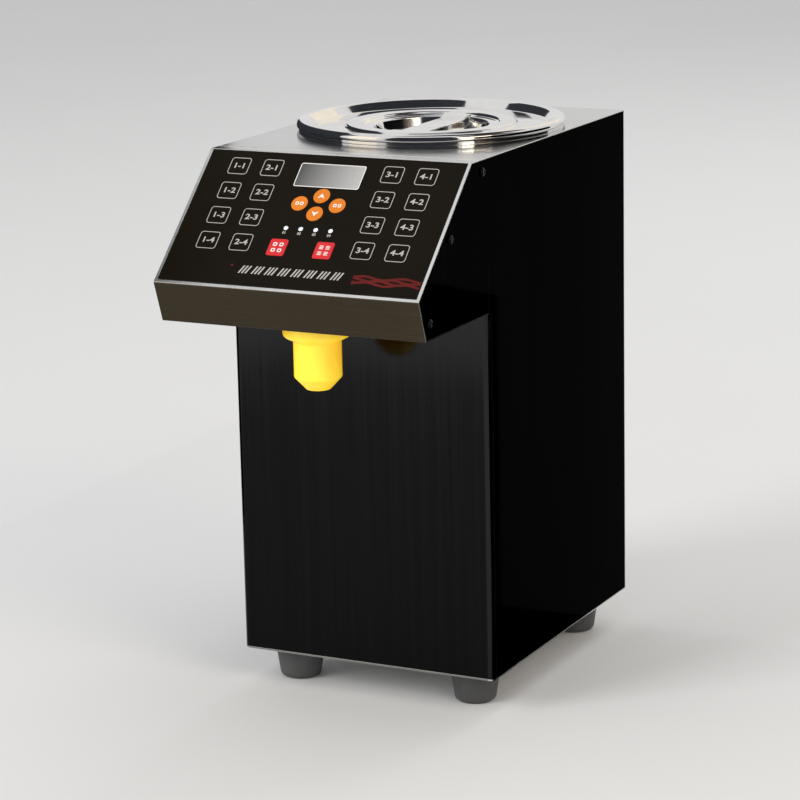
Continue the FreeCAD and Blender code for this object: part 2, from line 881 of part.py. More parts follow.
def hose_clamps():
    """A band with a screw block round each hose end."""
    inner = hose_radius + clamp_gap
    outer = inner + clamp_thickness
    clamps = []
    for point, along in hose_ends().values():
        middle = point + along * clamp_offset
        start = middle - along * (clamp_width / 2)
        end = middle + along * (clamp_width / 2)
        centre = middle + V(outer + clamp_block / 3, 0, 0)
        half = V(clamp_block, clamp_block, clamp_block) * 0.5
        corner = centre - half
        block = Part.makeBox(clamp_block, clamp_block, clamp_block, corner)
        clamps.append(rod(outer, start, end).fuse(block).cut(rod(inner, start, end)))
    return Part.makeCompound(clamps)


# ------------------------------------------------------------------ pump and motor
def involute(angle):
    return math.tan(angle) - angle


def tooth_half_angle(radius):
    """Half of a tooth's angular thickness at a radius."""
    base_radius = pitch_radius * math.cos(pressure_angle)
    at_pitch = math.pi / (2 * gear_teeth) - gear_backlash / (4 * pitch_radius)
    local = math.acos(base_radius / max(radius, base_radius))
    return at_pitch + involute(pressure_angle) - involute(local)


def gear_section(first_tooth, y, z):
    """A gear's face in the YZ plane, with a tooth at the angle first_tooth."""
    root_radius = pitch_radius - dedendum_share * gear_module
    base_radius = pitch_radius * math.cos(pressure_angle)
    middle = (pitch_radius + tip_radius) / 2
    radii = [root_radius, base_radius, pitch_radius, middle, tip_radius]
    points = []
    for tooth in range(gear_teeth):
        centre = first_tooth + tooth * 2 * math.pi / gear_teeth
        flank = [(radius, centre - tooth_half_angle(radius)) for radius in radii]
        flank += [(radius, centre + tooth_half_angle(radius)) for radius in radii[::-1]]
        points += [(y + radius * math.cos(angle), z + radius * math.sin(angle))
                   for radius, angle in flank]
    return across(points, -gear_width / 2, gear_width / 2)


def shaft(z, end):
    """A gear's shaft from the cover's bearing to end."""
    start = pump_face - cover_bearing_depth + shaft_end_gap
    return rod(shaft_radius, V(start, pump_y, z), V(end, pump_y, z))


def drive_gear():
    """The gear on the motor's shaft."""
    teeth = gear_section(math.pi / 2, pump_y, drive_z)
    return teeth.fuse(shaft(drive_z, bracket_face + motor_shaft_depth - shaft_end_gap))


def driven_gear():
    half_pitch = math.pi / gear_teeth
    teeth = gear_section(half_pitch - math.pi / 2, pump_y, driven_z)
    return teeth.fuse(shaft(driven_z, pump_back - shaft_end_gap))


def pump_port(side):
    """A round boss and hose barb on the pump's front or rear, and the bore through it."""
    face = pump_y + side * pump_half_depth
    shoulder = face + side * boss_length
    end = shoulder + side * barb_length
    port = rod(boss_radius, V(0, face, port_z), V(0, shoulder, port_z))
    port = port.fuse(rod(barb_radius, V(0, shoulder, port_z), V(0, end, port_z)))
    return port, rod(flow_radius, V(0, pump_y, port_z), V(0, end, port_z))


def cover_screw_places():
    """The (y, z) places of the pump cover's four screws."""
    y = pump_half_depth - head_radius
    z = pump_half_height - head_radius
    return [(pump_y + side * y, port_z + level * z) for side in (-1, 1) for level in (-1, 1)]


def pump_housing():
    block = box(pump_face, pump_back, pump_y - pump_half_depth, pump_y + pump_half_depth,
                port_z - pump_half_height, port_z + pump_half_height)
    cuts = []
    for z in (drive_z, driven_z):
        cuts.append(rod(gear_bore, V(pump_face, pump_y, z), V(cavity_end, pump_y, z)))
        cuts.append(rod(shaft_radius + shaft_gap, V(cavity_end, pump_y, z), V(pump_back, pump_y, z)))
    for y, z in cover_screw_places():
        end = pump_face + screw_length
        cuts.append(rod(screw_hole, V(pump_face, y, z), V(end, y, z)))
    for side in (-1, 1):
        port, bore = pump_port(side)
        block = block.fuse(port)
        cuts.append(bore)
    return block.cut(cuts)


def pump_cover():
    near = pump_face - pump_cover_thickness
    plate = box(near, pump_face, pump_y - pump_half_depth, pump_y + pump_half_depth,
                port_z - pump_half_height, port_z + pump_half_height)
    bearings = [rod(shaft_radius + shaft_gap, V(pump_face - cover_bearing_depth, pump_y, z),
                    V(pump_face, pump_y, z)) for z in (drive_z, driven_z)]
    holes = [rod(screw_hole, V(near, y, z), V(pump_face, y, z)) for y, z in cover_screw_places()]
    return plate.cut(bearings + holes)


def bracket_screw_places():
    x = bracket_face + bracket_foot - 2 * head_radius
    y = bracket_half_depth - 2 * head_radius
    return [(x, pump_y - y), (x, pump_y + y)]


def pump_bracket():
    """An angle plate: the pump on one face, the motor on the other."""
    front, rear = pump_y - bracket_half_depth, pump_y + bracket_half_depth
    top = port_z + pump_half_height
    upright = box(pump_back, bracket_face, front, rear, z_deck, top)
    foot = box(bracket_face, bracket_face + bracket_foot, front, rear,
               z_deck, z_deck + bracket_sheet)
    pilot = rod(motor_pilot_radius + pilot_gap, V(pump_back, pump_y, drive_z),
                V(bracket_face, pump_y, drive_z))
    holes = [rod(screw_hole, V(x, y, z_deck), V(x, y, z_deck + bracket_sheet))
             for x, y in bracket_screw_places()]
    return upright.fuse(foot).removeSplitter().cut([pilot] + holes)


def pump_motor():
    end = bracket_face + motor_length
    can = rod(motor_radius, V(bracket_face, pump_y, drive_z), V(end, pump_y, drive_z))
    cap = rod(motor_radius / 2, V(end, pump_y, drive_z), V(end + motor_cap_length, pump_y, drive_z))
    pilot = rod(motor_pilot_radius, V(pump_back, pump_y, drive_z),
                V(bracket_face, pump_y, drive_z))
    bore = rod(shaft_radius + shaft_gap, V(pump_back, pump_y, drive_z),
               V(bracket_face + motor_shaft_depth, pump_y, drive_z))
    return can.fuse([cap, pilot]).cut(bore)


# ------------------------------------------------------------------ nozzle
def nozzle():
    """Flanged nozzle with a hollow barrel, hung through the hood's floor by its neck."""
    shoulder = nozzle_flange_height + nozzle_shoulder
    chamber_foot = nozzle_barrel_foot - nozzle_roof
    section = profile_face([
        (flow_radius, neck_height + sheet), (neck_radius, neck_height + sheet),
        (neck_radius, 0), (nozzle_flange_radius, 0),
        (nozzle_flange_radius, -nozzle_flange_height), (nozzle_radius, -shoulder),
        (nozzle_radius, -nozzle_barrel_foot), (nozzle_tip_radius, -nozzle_length),
        (nozzle_bore_radius, -nozzle_length), (nozzle_bore_radius, -nozzle_barrel_foot),
        (nozzle_chamber_radius, -chamber_foot), (nozzle_chamber_radius, -nozzle_roof),
        (flow_radius, -nozzle_roof),
    ])
    return turned(section, 0, nozzle_y, z_hood)


def nozzle_elbow():
    """Threaded on to the nozzle's neck above the hood's floor, with a barb to the rear."""
    floor = z_hood + sheet
    axis = lambda height: V(0, nozzle_y, floor + height)
    body = rod(elbow_nut_radius, axis(0), axis(elbow_nut_height))
    body = body.fuse(rod(elbow_radius, axis(0), axis(elbow_height)))
    shoulder = nozzle_y + elbow_radius + boss_length
    end = shoulder + barb_length
    body = body.fuse(rod(boss_radius, V(0, nozzle_y, elbow_z), V(0, shoulder, elbow_z)))
    body = body.fuse(rod(barb_radius, V(0, nozzle_y, elbow_z), V(0, end, elbow_z)))
    socket = rod(neck_radius + neck_gap, axis(0), axis(neck_height))
    drop = rod(flow_radius, axis(neck_height), axis(elbow_port_height + flow_radius))
    bore = rod(flow_radius, V(0, nozzle_y - flow_radius, elbow_z), V(0, end, elbow_z))
    return body.cut([socket, drop, bore])


# ------------------------------------------------------------------ electrics
def supply_front():
    return y_rear - sheet - supply_rear_gap - supply_depth


def supply_screw_places():
    y = supply_front() + supply_depth / 2
    x = supply_width / 2 + supply_ear / 2
    return [(-x, y), (x, y)]


def power_supply():
    """A cased power supply: open at its front for the terminals, with two screw ears."""
    half = supply_width / 2
    front = supply_front()
    rear = front + supply_depth
    top = z_deck + supply_height
    case = box(-half, half, front, rear, z_deck, top)
    inside = box(supply_wall - half, half - supply_wall, front, rear - supply_wall,
                 z_deck + supply_wall, top - supply_wall)
    middle = front + supply_depth / 2
    ears = [box(side * half, side * (half + supply_ear), middle - supply_ear,
                middle + supply_ear, z_deck, z_deck + supply_ear_thickness) for side in (-1, 1)]
    holes = [rod(screw_hole, V(x, y, z_deck), V(x, y, z_deck + supply_ear_thickness))
             for x, y in supply_screw_places()]
    shell = case.cut(inside).fuse(ears).removeSplitter().cut(holes)
    floor = z_deck + supply_wall
    terminals = box(supply_ear - half, half - supply_ear, front, front + terminal_depth,
                    floor, floor + terminal_height)
    core = box(2 * supply_ear - half, half - 2 * supply_ear, middle - supply_ear, middle + supply_ear,
               floor, floor + terminal_height)
    return Part.makeCompound([shell, terminals, core])


def inlet_screw_xs():
    return [inlet_x - inlet_screw_pitch / 2, inlet_x + inlet_screw_pitch / 2]


def power_inlet():
    """A flanged appliance inlet with three pins in its socket."""
    face = y_rear + inlet_flange
    flange = box(inlet_x - inlet_flange_width / 2, inlet_x + inlet_flange_width / 2,
                 y_rear, face, inlet_z - inlet_flange_height / 2,
                 inlet_z + inlet_flange_height / 2)
    back = y_rear - inlet_body_depth
    body = box(inlet_x - inlet_body_width / 2, inlet_x + inlet_body_width / 2,
               back, y_rear, inlet_z - inlet_body_height / 2, inlet_z + inlet_body_height / 2)
    floor = face - inlet_socket_depth
    socket = box(inlet_x - inlet_socket_width / 2, inlet_x + inlet_socket_width / 2,
                 floor, face, inlet_z - inlet_socket_height / 2,
                 inlet_z + inlet_socket_height / 2)
    holes = [rod(screw_hole, V(x, y_rear, inlet_z), V(x, face, inlet_z))
             for x in inlet_screw_xs()]
    pins = []
    for x, z in ((-live_pin_x, live_pin_z), (live_pin_x, live_pin_z), (0, earth_pin_z)):
        pins.append(box(inlet_x + x - pin_width / 2, inlet_x + x + pin_width / 2,
                        floor, face - pin_setback,
                        inlet_z + z - pin_height / 2, inlet_z + z + pin_height / 2))
    return flange.fuse(body).removeSplitter().cut([socket] + holes).fuse(pins)


def rocker_pivot():
    return V(switch_x, y_rear, inlet_z)


def switch_housing():
    """The rocker switch's flanged body, open at the rear for the rocker."""
    face = y_rear + switch_flange
    half_flange = switch_flange_height / 2
    half_body = switch_body_height / 2
    flange = box(switch_x - switch_flange_width / 2, switch_x + switch_flange_width / 2,
                 y_rear, face, inlet_z - half_flange, inlet_z + half_flange)
    body = box(switch_x - switch_body_width / 2, switch_x + switch_body_width / 2,
               y_rear - switch_body_depth, y_rear, inlet_z - half_body, inlet_z + half_body)
    half_well = rocker_width / 2 + rocker_side_gap
    well_height = rocker_half_height + rocker_well_gap
    well = box(switch_x - half_well, switch_x + half_well, y_rear - rocker_depth - rocker_well_gap,
               face, inlet_z - well_height, inlet_z + well_height)
    reach = V(half_well + rocker_pin_length, 0, 0)
    pins = rod(rocker_pin_radius + shaft_gap, rocker_pivot() - reach, rocker_pivot() + reach)
    return flange.fuse(body).removeSplitter().cut([well, pins])


def switch_rocker():
    """The rocker, tipped to its off position."""
    crest = y_rear + switch_flange + rocker_stand
    valley = crest - rocker_valley
    foot = y_rear - rocker_depth
    outline = [(valley, inlet_z), (crest, inlet_z + rocker_half_height),
               (y_rear, inlet_z + rocker_half_height), (foot, inlet_z + rocker_depth),
               (foot, inlet_z - rocker_depth), (y_rear, inlet_z - rocker_half_height),
               (crest, inlet_z - rocker_half_height)]
    pad = across(outline, switch_x - rocker_width / 2, switch_x + rocker_width / 2)
    reach = V(rocker_width / 2 + rocker_pin_length, 0, 0)
    pins = rod(rocker_pin_radius, rocker_pivot() - reach, rocker_pivot() + reach)
    rocker = pad.fuse(pins)
    rocker.rotate(rocker_pivot(), V(1, 0, 0), rocker_tilt)
    return rocker


# ------------------------------------------------------------------ feet and fasteners
def feet():
    feet_solids = []
    for x, y in foot_places():
        section = profile_face([
            (foot_screw_radius + screw_clearance, foot_recess_depth),
            (foot_recess_radius, foot_recess_depth), (foot_recess_radius, 0),
            (foot_tip_radius - foot_edge, 0), (foot_tip_radius, foot_edge),
            (foot_radius, foot_height), (foot_screw_radius + screw_clearance, foot_height),
        ])
        feet_solids.append(turned(section, x, y, 0))
    return Part.makeCompound(feet_solids)


def foot_screws():
    """Per foot, a screw from below and its nut on the base plate."""
    pieces = []
    for x, y in foot_places():
        seat = foot_recess_depth
        nut_top = z_deck + foot_nut_height
        head = rod(foot_head_radius, V(x, y, seat - foot_head_height), V(x, y, seat))
        stem = rod(foot_screw_radius, V(x, y, seat), V(x, y, nut_top))
        pieces.append(head.fuse(stem))
        nut = rod(foot_nut_radius, V(x, y, z_deck), V(x, y, nut_top))
        hole = rod(foot_screw_radius + lap, V(x, y, z_deck), V(x, y, nut_top))
        pieces.append(nut.cut(hole))
    return Part.makeCompound(pieces)


def screw(seat, outwards, length=screw_length):
    """A pan-head screw, its head on the seat and its shank the other way."""
    rim = head_height / 2
    stem = rod(screw_radius, seat - outwards * length, seat)
    head = rod(head_radius, seat, seat + outwards * rim)
    crown = Part.makeCone(head_radius, head_radius * 0.6, head_height - rim,
                          seat + outwards * rim, outwards)
    return head.fuse([crown, stem])


def machine_screws():
    screws = []
    for side in (-1, 1):
        for y, z in cheek_screw_places():
            screws.append(screw(V(side * half_width, y, z), V(side, 0, 0)))
    for x, z in rear_screw_places():
        screws.append(screw(V(x, y_rear, z), V(0, 1, 0)))
    for x in inlet_screw_xs():
        screws.append(screw(V(x, y_rear + inlet_flange, inlet_z), V(0, 1, 0)))
    for x, y in base_screw_places():
        screws.append(screw(V(x, y, z_base), V(0, 0, -1)))
    for x, y in bracket_screw_places():
        screws.append(screw(V(x, y, z_deck + bracket_sheet), V(0, 0, 1)))
    for x, y in supply_screw_places():
        screws.append(screw(V(x, y, z_deck + supply_ear_thickness), V(0, 0, 1)))
    long_screw = pump_cover_thickness + screw_length - shaft_end_gap
    for y, z in cover_screw_places():
        seat = V(pump_face - pump_cover_thickness, y, z)
        screws.append(screw(seat, V(-1, 0, 0), long_screw))
    return Part.makeCompound(screws)


# ------------------------------------------------------------------ the assembly
def build_all():
    """Every sub-part's shape by its name."""
    shapes = {
        "front_panel": front_panel(),
        "top_plate": top_plate(),
        "rear_panel": rear_panel(),
        "base_plate": base_plate(),
        "left_side_panel": side_panel(-1),
        "right_side_panel": side_panel(1),
        "left_cheek": cheek(-1),
        "right_cheek": cheek(1),
        "hood_floor": hood_floor(),
        "lip_valance": lip_valance(),
        "panel_frame": panel_frame(),
        "keypad_film": keypad_film(),
        "display_window": display_window(),
        "display_module": display_module(),
        "control_board": control_board(),
        "tank": tank(),
        "tank_lid": tank_lid(),
        "lid_handle": lid_handle(),
        "heater_band": heater_band(),
        "tank_outlet": tank_outlet(),
        "supply_hose": supply_hose(),
        "discharge_hose": discharge_hose(),
        "hose_clamps": hose_clamps(),
        "pump_housing": pump_housing(),
        "pump_cover": pump_cover(),
        "drive_gear": drive_gear(),
        "driven_gear": driven_gear(),
        "pump_bracket": pump_bracket(),
        "pump_motor": pump_motor(),
        "nozzle": nozzle(),
        "nozzle_elbow": nozzle_elbow(),
        "power_supply": power_supply(),
        "power_inlet": power_inlet(),
        "switch_housing": switch_housing(),
        "switch_rocker": switch_rocker(),
        "feet": feet(),
        "foot_screws": foot_screws(),
        "machine_screws": machine_screws(),
    }
    for name in key_names():
        shapes[name] = key(name)
    return shapes


os.makedirs("parts", exist_ok=True)
for part_name, part_shape in build_all().items():
    part_shape.exportStep(f"parts/{part_name}.step")
    print(f"{part_name}: {len(part_shape.Solids)} solids, {part_shape.Volume:.0f} mm3,"
          f" valid {part_shape.isValid()}")
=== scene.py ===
"""Looks of a tabletop fructose dispenser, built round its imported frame.

Metres, in the frame's own axes: X to the machine's right, Y to its back, Z up.
"""
import json
import logging
import math
from dataclasses import dataclass, field
from enum import Enum
from typing import Any, Iterable, Sequence

import bmesh
import bpy
from mathutils import Matrix, Vector


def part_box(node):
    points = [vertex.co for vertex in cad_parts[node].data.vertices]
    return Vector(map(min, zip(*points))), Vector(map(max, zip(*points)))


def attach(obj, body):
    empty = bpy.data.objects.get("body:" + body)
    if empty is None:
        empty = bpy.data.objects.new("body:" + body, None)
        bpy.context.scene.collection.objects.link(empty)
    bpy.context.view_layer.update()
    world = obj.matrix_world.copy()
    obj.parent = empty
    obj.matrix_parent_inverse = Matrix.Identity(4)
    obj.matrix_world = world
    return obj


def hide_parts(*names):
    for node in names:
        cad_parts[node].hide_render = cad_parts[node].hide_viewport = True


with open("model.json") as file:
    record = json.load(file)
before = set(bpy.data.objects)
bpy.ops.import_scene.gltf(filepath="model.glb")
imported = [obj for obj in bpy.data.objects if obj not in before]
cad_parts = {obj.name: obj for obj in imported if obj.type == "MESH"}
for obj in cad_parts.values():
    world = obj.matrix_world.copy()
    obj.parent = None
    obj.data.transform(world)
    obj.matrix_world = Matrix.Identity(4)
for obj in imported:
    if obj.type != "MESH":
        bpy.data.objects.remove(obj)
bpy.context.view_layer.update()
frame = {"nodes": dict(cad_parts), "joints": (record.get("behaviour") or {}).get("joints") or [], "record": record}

log = logging.getLogger("dispenser")
MM = 0.001
SAME_POINT = 0.002 * MM
SHARP = math.radians(30)
HOUSING = "housing"
Colour = tuple[float, float, float]


# ---------------------------------------------------------------- node trees
class Tree:
    """Adds and joins the nodes of one shader or geometry tree."""

    def __init__(self, tree: bpy.types.NodeTree) -> None:
        """Keeps the tree that nodes are added to."""
        self.tree = tree

    def add(self, kind: str, inputs: dict[Any, Any] | None = None,
            **settings: Any) -> bpy.types.Node:
        """Adds a node.

        Args:
            kind: the node's type.
            inputs: values or output sockets by input name or index.
            settings: the node's own properties.

        Returns:
            The new node.
        """
        node = self.tree.nodes.new(kind)
        for name, value in settings.items():
            setattr(node, name, value)
        for name, value in (inputs or {}).items():
            self.feed(node.inputs[name], value)
        return node

    def feed(self, socket: bpy.types.NodeSocket, value: Any) -> None:
        """Links an output socket to an input, or sets the input's own value.

        Args:
            socket: the input.
            value: an output socket or a plain value.
        """
        if isinstance(value, bpy.types.NodeSocket):
            self.tree.links.new(value, socket)
        else:
            socket.default_value = value

    def math(self, operation: str, *values: Any, clamp: bool = False) -> bpy.types.NodeSocket:
        """A Math node's result.

        Args:
            operation: the sum to do.
            values: its inputs, in order.
            clamp: whether the result stays between 0 and 1.

        Returns:
            The result.
        """
        node = self.add("ShaderNodeMath", dict(enumerate(values)), operation=operation)
        node.use_clamp = clamp
        return node.outputs[0]

    def vector(self, operation: str, first: Any, second: Any) -> bpy.types.NodeSocket:
        """A Vector Math node's result."""
        node = self.add("ShaderNodeVectorMath", {0: first, 1: second}, operation=operation)
        return node.outputs[0]

    def combine(self, x: Any = 0.0, y: Any = 0.0, z: Any = 0.0) -> bpy.types.NodeSocket:
        """A vector of three values."""
        return self.add("ShaderNodeCombineXYZ", {0: x, 1: y, 2: z}).outputs[0]

    def split(self, vector: Any) -> bpy.types.NodeOutputs:
        """A vector's three values."""
        return self.add("ShaderNodeSeparateXYZ", {0: vector}).outputs

    def mix(self, factor: Any, first: Any, second: Any) -> bpy.types.NodeSocket:
        """A colour between two colours.

        Args:
            factor: 0 for the first and 1 for the second.
            first: a colour.
            second: a colour.

        Returns:
            The mixed colour.
        """
        node = self.tree.nodes.new("ShaderNodeMix")
        node.data_type = "RGBA"
        for index, value in ((0, factor), (6, first), (7, second)):
            self.feed(node.inputs[index], value)
        return node.outputs[2]

    def fit(self, value: Any, low: float, high: float, to_low: float = 0.0,
            to_high: float = 1.0) -> bpy.types.NodeSocket:
        """A value's range moved to another one, and held inside it.

        Args:
            value: what is moved.
            low: the value that becomes to_low.
            high: the value that becomes to_high.
            to_low: the new range's start.
            to_high: the new range's end.

        Returns:
            The moved value.
        """
        limits = {"Value": value, "From Min": low, "From Max": high, "To Min": to_low,
                  "To Max": to_high}
        return self.add("ShaderNodeMapRange", limits).outputs[0]

    def noise(self, vector: Any, scale: float, detail: float = 2.0) -> bpy.types.NodeSocket:
        """A noise texture's value."""
        node = self.add("ShaderNodeTexNoise", {"Vector": vector, "Scale": scale, "Detail": detail})
        return node.outputs[0]

    def relief(self, shader: bpy.types.Node, height: Any, strength: float,
               distance: float) -> None:
        """Gives a shader the normals of a height through a Bump node.

        Args:
            shader: the node that gets the normals.
            height: the height's socket.
            strength: how much of it shows.
            distance: what a height of 1 measures.
        """
        bump = self.add("ShaderNodeBump", {"Height": height, "Strength": strength,
                                           "Distance": distance})
        self.feed(shader.inputs["Normal"], bump.outputs[0])


def rgba(colour: Colour) -> tuple[float, float, float, float]:
    """A colour with full alpha."""
    return (*colour, 1.0)


def scaled(colour: Colour, factor: float) -> Colour:
    """A colour made lighter or darker."""
    return tuple(min(1.0, part * factor) for part in colour)


class Group:
    """A shared shader effect: a node group with named inputs and outputs."""

    def __init__(self, name: str, inputs: dict[str, tuple[str, Any]],
                 outputs: dict[str, str]) -> None:
        """Makes the empty group.

        Args:
            name: the group's name.
            inputs: kind and default value of each input.
            outputs: kind of each output.
        """
        self.data = bpy.data.node_groups.new(name, "ShaderNodeTree")
        self.tree = Tree(self.data)
        for label, (kind, value) in inputs.items():
            socket = self.data.interface.new_socket(label, in_out="INPUT", socket_type=kind)
            if value is not None:
                socket.default_value = value
        for label, kind in outputs.items():
            self.data.interface.new_socket(label, in_out="OUTPUT", socket_type=kind)
        self.ins = self.tree.add("NodeGroupInput").outputs
        self.out = self.tree.add("NodeGroupOutput").inputs

    def place(self, tree: Tree, **values: Any) -> bpy.types.NodeOutputs:
        """Puts the group into a material with its own values, and returns its outputs.

        Args:
            tree: the material's nodes.
            values: the group's inputs by name.

        Returns:
            The group's outputs.
        """
        node = tree.tree.nodes.new("ShaderNodeGroup")
        node.node_tree = self.data
        for label, value in values.items():
            tree.feed(node.inputs[label], value)
        return node.outputs


def brush_group() -> Group:
    """Fine parallel marks: Scale is marks per metre along each axis.

    Returns:
        The group.
    """
    group = Group("brush_marks", {"Vector": ("NodeSocketVector", None),
                                  "Scale": ("NodeSocketVector", (1.0, 1.0, 1.0))},
                  {"Height": "NodeSocketFloat", "Shade": "NodeSocketFloat"})
    broad_scale, fine_share, faint, full = 0.23, 0.6, 0.36, 0.64
    tree = group.tree
    along = tree.vector("MULTIPLY", group.ins["Vector"], group.ins["Scale"])
    fine = tree.noise(along, 1.0, 3.0)
    broad = tree.noise(along, broad_scale)
    tree.feed(group.out["Height"], fine)
    both = tree.math("ADD", tree.math("MULTIPLY", fine, fine_share),
                     tree.math("MULTIPLY", broad, 1 - fine_share))
    tree.feed(group.out["Shade"], tree.fit(both, faint, full))
    return group


def smudge_group() -> Group:
    """Uneven sheen, as left by hands and cloths: Scale is in patches per metre.

    Returns:
        The group.
    """
    group = Group("smudges", {"Vector": ("NodeSocketVector", None),
                              "Scale": ("NodeSocketFloat", 20.0)},
                  {"Mask": "NodeSocketFloat"})
    clean, smeared, detail, breaking = 0.42, 0.68, 5.0, 0.62
    tree = group.tree
    node = tree.add("ShaderNodeTexNoise", {"Vector": group.ins["Vector"],
                                           "Scale": group.ins["Scale"], "Detail": detail,
                                           "Roughness": breaking})
    tree.feed(group.out["Mask"], tree.fit(node.outputs[0], clean, smeared))
    return group


def wear_and_highlight_group() -> Group:
    """Paler edges, partly bare-metal wear and partly a painted highlight: the piece's own edge attribute, broken
    up by noise.

    Returns:
        The group.
    """
    group = Group("edge_wear_and_highlight", {"Vector": ("NodeSocketVector", None),
                                "Amount": ("NodeSocketFloat", 1.0)},
                  {"Mask": "NodeSocketFloat"})
    patches, low, high, least = 90.0, 0.3, 0.6, 0.45
    tree = group.tree
    edge = tree.add("ShaderNodeAttribute", attribute_name="edge").outputs["Fac"]
    broken = tree.fit(tree.noise(group.ins["Vector"], patches, 4.0), low, high, least)
    mask = tree.math("MULTIPLY", tree.math("MULTIPLY", edge, broken), group.ins["Amount"],
                     clamp=True)
    tree.feed(group.out["Mask"], mask)
    return group


def grain_group() -> Group:
    """The fine pebbled texture of moulded plastic and rubber.

    Returns:
        The group.
    """
    group = Group("moulded_grain", {"Vector": ("NodeSocketVector", None),
                                    "Scale": ("NodeSocketFloat", 900.0)},
                  {"Height": "NodeSocketFloat"})
    tree = group.tree
    cells = tree.add("ShaderNodeTexVoronoi", {"Vector": group.ins["Vector"],
                                              "Scale": group.ins["Scale"]})
    tree.feed(group.out["Height"], cells.outputs["Distance"])
    return group


@dataclass
class Effects:
    """The shared effects, each built once."""
    brush: Group = field(default_factory=brush_group)
    smudge: Group = field(default_factory=smudge_group)
    wear_and_highlight: Group = field(default_factory=wear_and_highlight_group)
    grain: Group = field(default_factory=grain_group)


EFFECTS = Effects()


# ---------------------------------------------------------------- finishes
class Marks(Enum):
    """The way a metal's brush marks run."""
    UPRIGHT = "z"
    LEVEL = "x"
    DEPTH = "y"
    ROUND = "turned"


@dataclass(frozen=True)
class Finish:
    """A named surface, made into a material the first time it is asked for."""
    name: str

    def material(self) -> bpy.types.Material:
        """The finish's material.

        Returns:
            The same material each time.
        """
        label = f"{self.name}_finish"
        known = bpy.data.materials.get(label)
        if known:
            return known
        made = bpy.data.materials.new(label)
        made.use_nodes = True
        made.node_tree.nodes.clear()
        tree = Tree(made.node_tree)
        shader = tree.add("ShaderNodeBsdfPrincipled")
        out = tree.add("ShaderNodeOutputMaterial")
        tree.feed(out.inputs["Surface"], shader.outputs[0])
        place = tree.add("ShaderNodeTexCoord").outputs["Object"]
        self.shade(tree, shader, place)
        return made

    def shade(self, tree: Tree, shader: bpy.types.Node, place: bpy.types.NodeSocket) -> None:
        """Sets the shader's inputs. Each kind of finish has its own."""
        raise NotImplementedError


@dataclass(frozen=True)
class Steel(Finish):
    """Sheet steel with brush marks, uncoated or tinted."""
    colour: Colour
    roughness: float = 0.25
    marks: Marks = Marks.LEVEL
    mark_width: float = 1.1 * MM
    mark_length: float = 160.0 * MM
    mark_depth: float = 0.004 * MM
    contrast: float = 0.25
    # Paler rounded edges, partly bare-metal wear and partly a painted highlight: this colour and the amount below.
    worn_and_lit_edge: Colour = (0.62, 0.62, 0.62)
    wear_and_highlight: float = 0.0
    tint: Colour = (1.0, 1.0, 1.0)
    centre: tuple[float, float] = (0.0, 0.0)
    smear_scale: float = 14.0
    smear_share: float = 0.25
    mark_share: float = 0.3
    relief_strength: float = 0.6

    def marks_vector(self, tree: Tree, place: bpy.types.NodeSocket
                     ) -> tuple[bpy.types.NodeSocket, tuple[float, float, float]]:
        """Where the brush marks are read, and their number per metre on each axis.

        Args:
            tree: the material's nodes.
            place: the point on the piece.

        Returns:
            The marks' own coordinates, and their number on each.
        """
        across, along = 1 / self.mark_width, 1 / self.mark_length
        if self.marks is not Marks.ROUND:
            return place, tuple(along if axis == self.marks.value else across
                                for axis in "xyz")
        x, y, z = tree.split(tree.vector("SUBTRACT", place, (*self.centre, 0.0)))
        flat = tree.combine(x, y)
        radius = tree.add("ShaderNodeVectorMath", {0: flat}, operation="LENGTH").outputs["Value"]
        return tree.combine(radius, 0.0, z), (across, across, across)

    def shade(self, tree: Tree, shader: bpy.types.Node, place: bpy.types.NodeSocket) -> None:
        """Metal with marks in its colour, sheen and height.

        Args:
            tree: the material's nodes.
            shader: its main shader.
            place: the point on the piece.
        """
        vector, scale = self.marks_vector(tree, place)
        brush = EFFECTS.brush.place(tree, Vector=vector, Scale=scale)
        smudge = EFFECTS.smudge.place(tree, Vector=place, Scale=self.smear_scale)["Mask"]
        # Paler rounded edges: partly wear, partly a painted highlight.
        wear_and_highlight_mask = EFFECTS.wear_and_highlight.place(tree, Vector=place, Amount=self.wear_and_highlight)["Mask"]
        colour = tree.mix(brush["Shade"], rgba(scaled(self.colour, 1 - self.contrast)),
                          rgba(scaled(self.colour, 1 + self.contrast)))
        tree.feed(shader.inputs["Base Color"], tree.mix(wear_and_highlight_mask, colour, rgba(self.worn_and_lit_edge)))
        sheen = tree.math("MULTIPLY", brush["Shade"], self.mark_share * self.roughness)
        smeared = tree.math("MULTIPLY", smudge, self.smear_share * self.roughness)
        sheen = tree.math("ADD", sheen, smeared)
        least = (1 - self.smear_share) * self.roughness
        tree.feed(shader.inputs["Roughness"], tree.math("ADD", sheen, least))
        shader.inputs["Metallic"].default_value = 1.0
        shader.inputs["Specular Tint"].default_value = rgba(self.tint)
        tree.relief(shader, brush["Height"], self.relief_strength, self.mark_depth)


